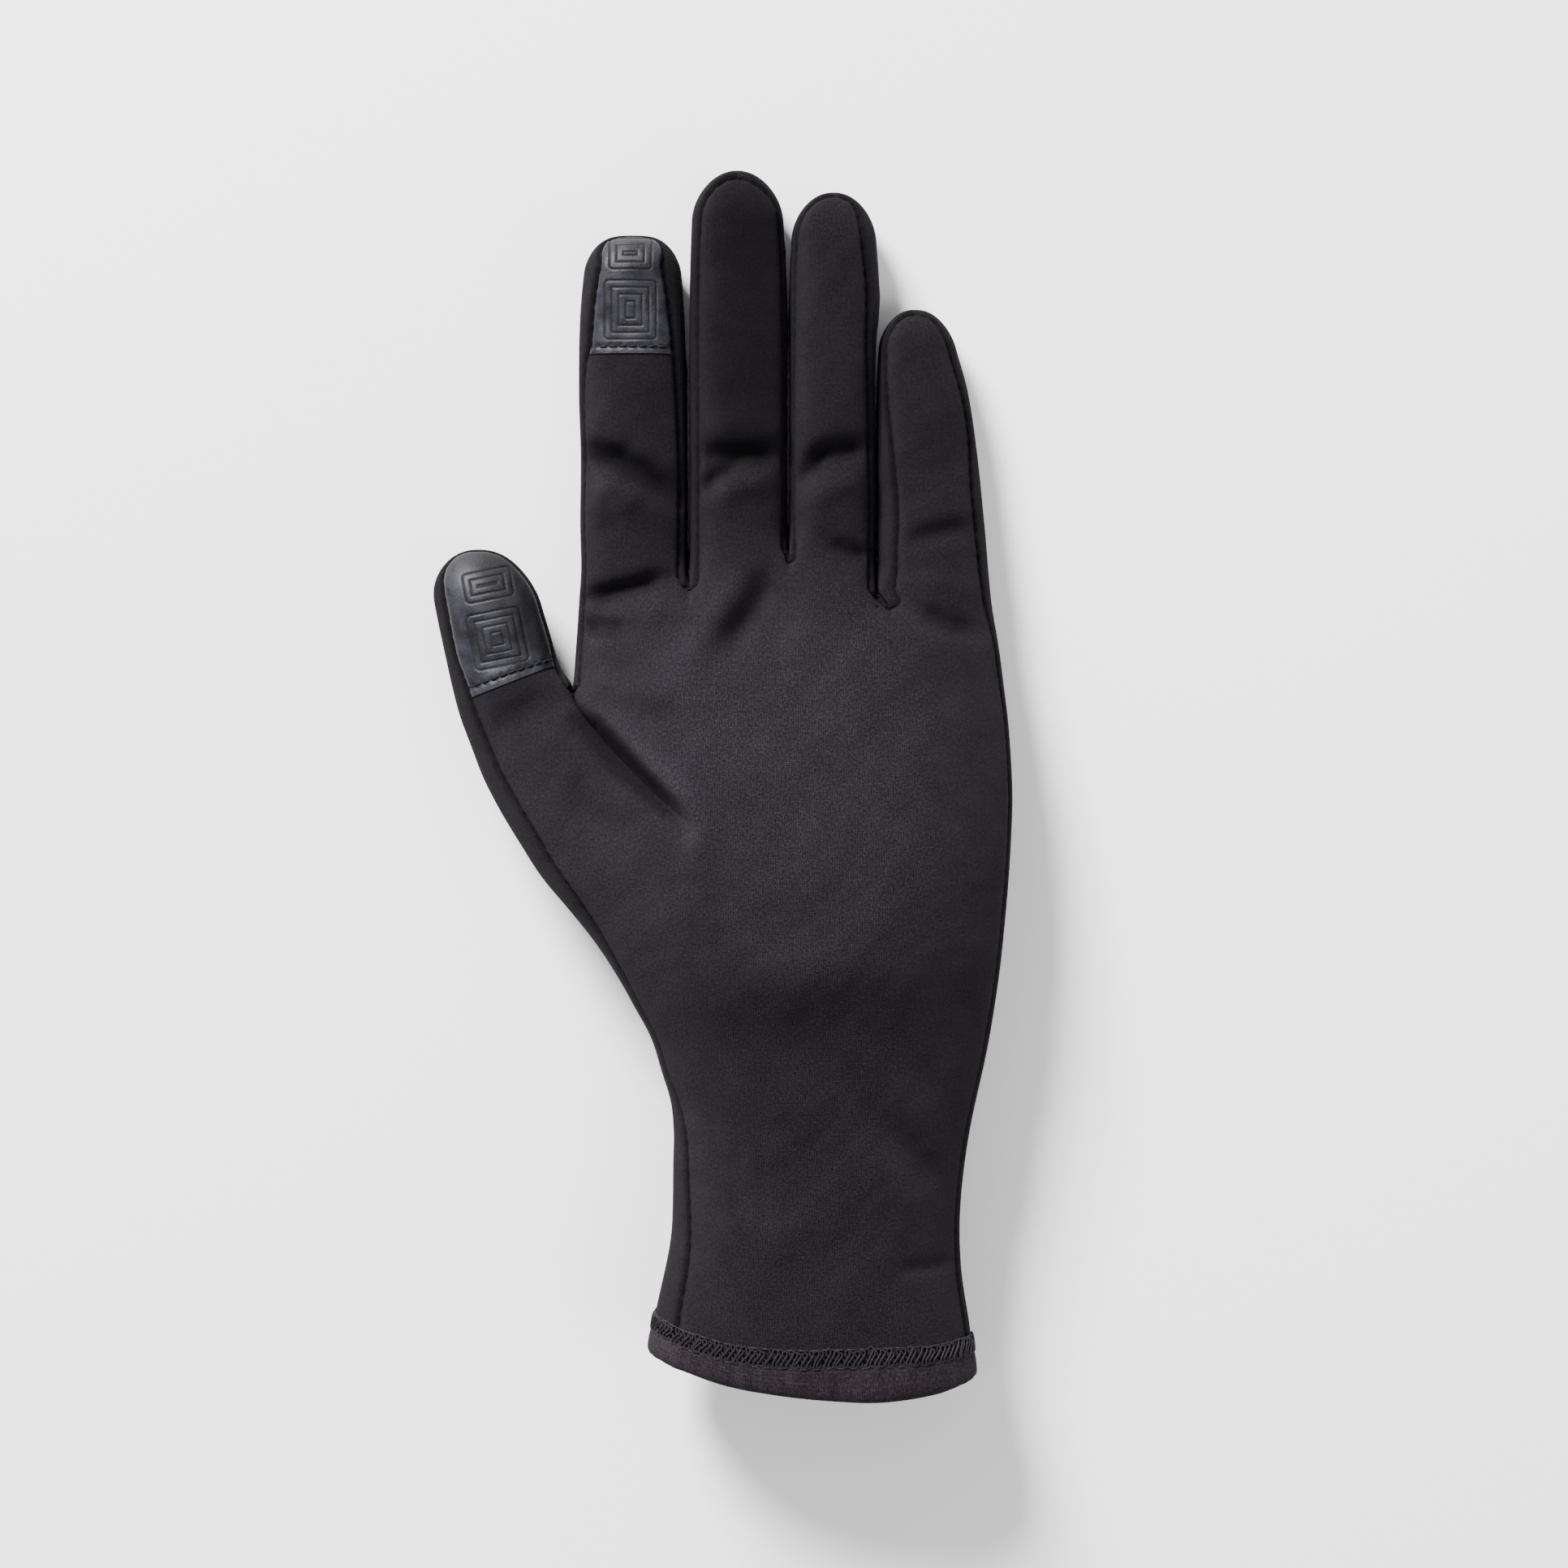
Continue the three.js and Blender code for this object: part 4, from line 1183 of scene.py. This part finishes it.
PAD_LOW = 87.6
for number, name in enumerate(NAMES):
    f = FINGERS[name]
    column = columns[name]
    y = column.y
    bounds = [ROOT, *f["cuts"], f["tip"]]
    segments = ["lower", "middle", "tip"]
    chain = ["palm"] + [f"{name}_{segment}" for segment in segments]
    fork_sides = [side for side, gap in (("left", number - 1), ("right", number)) if 0 <= gap < len(splits)]
    for k, segment in enumerate(segments):
        rows = rows_between(y, bounds[k], bounds[k + 1])
        bodies = chain[k:k + 2]
        band = band_points(f["bands"][k])
        label = f"{name}_{segment}"
        front_rows = rows
        nodes = [label + "_front"]
        if name == "index" and segment == "tip":
            front_rows = slice(rows.start, int(np.searchsorted(y, PAD_LOW)) + 2)
            nodes = []
        panel(label + "_front", [column.top[front_rows]], "palm_knit", bodies, band, nodes)
        back = [column.bottom[rows]]
        for side in ("left", "right"):
            strip = getattr(column, side)
            if side not in fork_sides:
                back.append(strip[rows])
                continue
            start = max(rows.start, int(np.argmax(getattr(column, side + "_side").open)))
            if k == 0:
                start = int(np.searchsorted(y, f["bands"][0][0] - 1e-6))
            fork_rows = slice(start, rows.stop)
            fork = f"{label}_fork_{side}"
            panel(fork, [strip[fork_rows]], "fork_knit", bodies, band, [fork])
        panel(label + "_back", back, "back_knit", bodies, band, [label + "_back"])

for gap, (a, b) in enumerate(zip(NAMES, NAMES[1:])):
    label = f"fork_{a}_{b}"
    facing = []
    for name, side in ((a, "right"), (b, "left")):
        rows = rows_between(columns[name].y, CROTCHES[gap], FINGERS[name]["bands"][0][0])
        facing.append(getattr(columns[name], side)[rows])
    panel(label, facing, "fork_knit", ["palm"], nodes=[label])

# ---- the thumb ----
thumb = columns["thumb"]
pad_row = int(np.argmin(np.abs(thumb.y - PAD_LOW_RIGHT)))
web_row = int(np.argmin(np.abs(thumb.y - WEB)))


def slanted_band(x, y, across, up, length):
    """A bend's band, from a point along a direction."""
    return (x, y, 0), (x + across * length, y + up * length, 0)


THUMB_ROOT_BAND = slanted_band(-31.4, 18.4, -0.724, 0.69, 6)
THUMB_TIP_BAND = slanted_band(-44.2, 20.8, -0.381, 0.925, 7)
low = slice(0, pad_row + 1)
high = slice(pad_row, None)
low_open = slice(web_row, pad_row + 1)
panel("thumb_lower_front", [thumb.top[low]], "palm_knit", ["palm", "thumb_lower"], THUMB_ROOT_BAND,
      ["thumb_lower_front"])
panel("thumb_lower_back", [thumb.bottom[low], thumb.left[low], thumb.right[low_open]], "back_knit",
      ["palm", "thumb_lower"], THUMB_ROOT_BAND, ["thumb_lower_back"])
panel("thumb_tip_back", [thumb.bottom[high], thumb.left[high], thumb.right[high]], "back_knit",
      ["thumb_lower", "thumb_tip"], THUMB_TIP_BAND, ["thumb_tip_back"])

# ---- the touch pads: thin coated leather, embossed with nested rounded frames ----
GROOVE_STEP = 1.45
GROOVE_DEPTH = 0.2
GROOVE_WIDTH = 0.2
STITCH_START = 0.7


def frames(u, v, half_wide, half_tall, corner):
    """Depth of grooves nested inside a rounded rectangle, at points from its centre."""
    a = np.abs(u) - half_wide + corner
    b = np.abs(v) - half_tall + corner
    away = np.hypot(np.maximum(a, 0), np.maximum(b, 0)) + np.minimum(np.maximum(a, b), 0) - corner
    step = np.abs(np.mod(-away, GROOVE_STEP) - GROOVE_STEP / 2)
    return np.where(away < 0, -GROOVE_DEPTH * np.exp(-((step / GROOVE_WIDTH) ** 2)), 0)


def emboss(u, v, zones):
    """Grooves of several frames, each (centre across, centre along, half width, half height, corner)."""
    relief = np.zeros_like(u)
    for across_at, along_at, wide, tall, corner in zones:
        relief = np.minimum(relief, frames(u - across_at, v - along_at, wide, tall, corner))
    return relief


def pad_panel(name, part, column, first_row, zones, lean, bodies, band, stitch_above, stitch_gap, side_darkening):
    """A pad over a stall's tip: a dense grid between its seams, pressed with grooves and topstitched."""
    rows = np.arange(first_row, column.rows - 1 + 1e-6, 1 / (4))
    whole = np.arange(column.rows)
    ends = []
    for side in (column.left_side, column.right_side):
        ends.append(points_at(rows, whole, side.front))
    share = shares(84, 0.25)
    plan = mix(ends[0][:, None], ends[1][:, None], share[None, :, None])
    grid = surface(part, plan, 1)
    foot = (ends[0][0] + ends[1][0]) / 2
    heading = np.array([math.sin(lean), math.cos(lean)])
    from_foot = plan - foot
    along = from_foot @ heading
    sideways = from_foot @ np.array([heading[1], -heading[0]])
    low_edge = np.linalg.norm(plan - plan[:1], axis=-1)
    pucker = 0.65 + 0.35 * np.cos(2 * np.pi * (run_along(grid, 1) - STITCH_START) / stitch_gap)
    sewn = -0.3 * pucker * np.exp(-(((low_edge - stitch_above) / 0.55) ** 2))
    inside = smooth(low_edge, stitch_above + 0.6, stitch_above + 1.6)
    out = normals(grid)
    out[-1] = (0, 1, 0)
    thick = 0.28 * smooth(share * (1 - share) * 4, 0.0, 0.25)[None, :]
    pressed = inside * emboss(sideways, along, zones)
    relief = thick + sewn + pressed
    shaped = seams.pull(grid + out * relief[..., None])
    # painted shade in the embossed grooves
    tone = 1 - 0.75 * smooth(-pressed / GROOVE_DEPTH, 0.15, 0.8)
    # darker, and rougher through the tone, towards the pad's +x side and its tip
    tone = tone * (1 - side_darkening * smooth(sideways + 0.45 * (along - 12), -2, 9))
    obj = shown(name, grid_mesh(name, [shaped], tone), MATERIALS["pad_leather"])
    thicken(obj, 0.5)
    settle(obj, bodies, band, [name])
    row = int(np.argmin(np.abs(low_edge[:, share.size // 2] - stitch_above)))
    line = shaped[row]
    run = run_along(line)
    at = np.arange(STITCH_START, run[-1] - 0.5, stitch_gap)
    spots = points_at(at, run, line)
    outs = unit(points_at(at, run, out[row]))
    sewn_line = dashes(spots + outs * STITCH_LIFT, outs)
    stitches(name + "_stitch", sewn_line, 0.24, bodies, band, "pad_thread")


index = columns["index"]
INDEX_ZONES = ((0.0, 8.9, 6.0, 6.8, 1.6), (0.0, 20.6, 5.0, 4.0, 1.4))
pad_panel("index_pad", "index", index, int(np.searchsorted(index.y, PAD_LOW)), INDEX_ZONES, 0.0,
          ["index_middle", "index_tip"], band_points(FINGERS["index"]["bands"][2]), 1.5, 2.1, 0.1)
THUMB_ZONES = ((-1.2, 9.2, 6.2, 6.4, 1.8), (-1.0, 20.4, 5.6, 3.8, 1.6))
pad_panel("thumb_pad", "thumb", thumb, pad_row, THUMB_ZONES, -0.2, ["thumb_lower", "thumb_tip"],
          THUMB_TIP_BAND, 1.7, 2.0, 0.6)
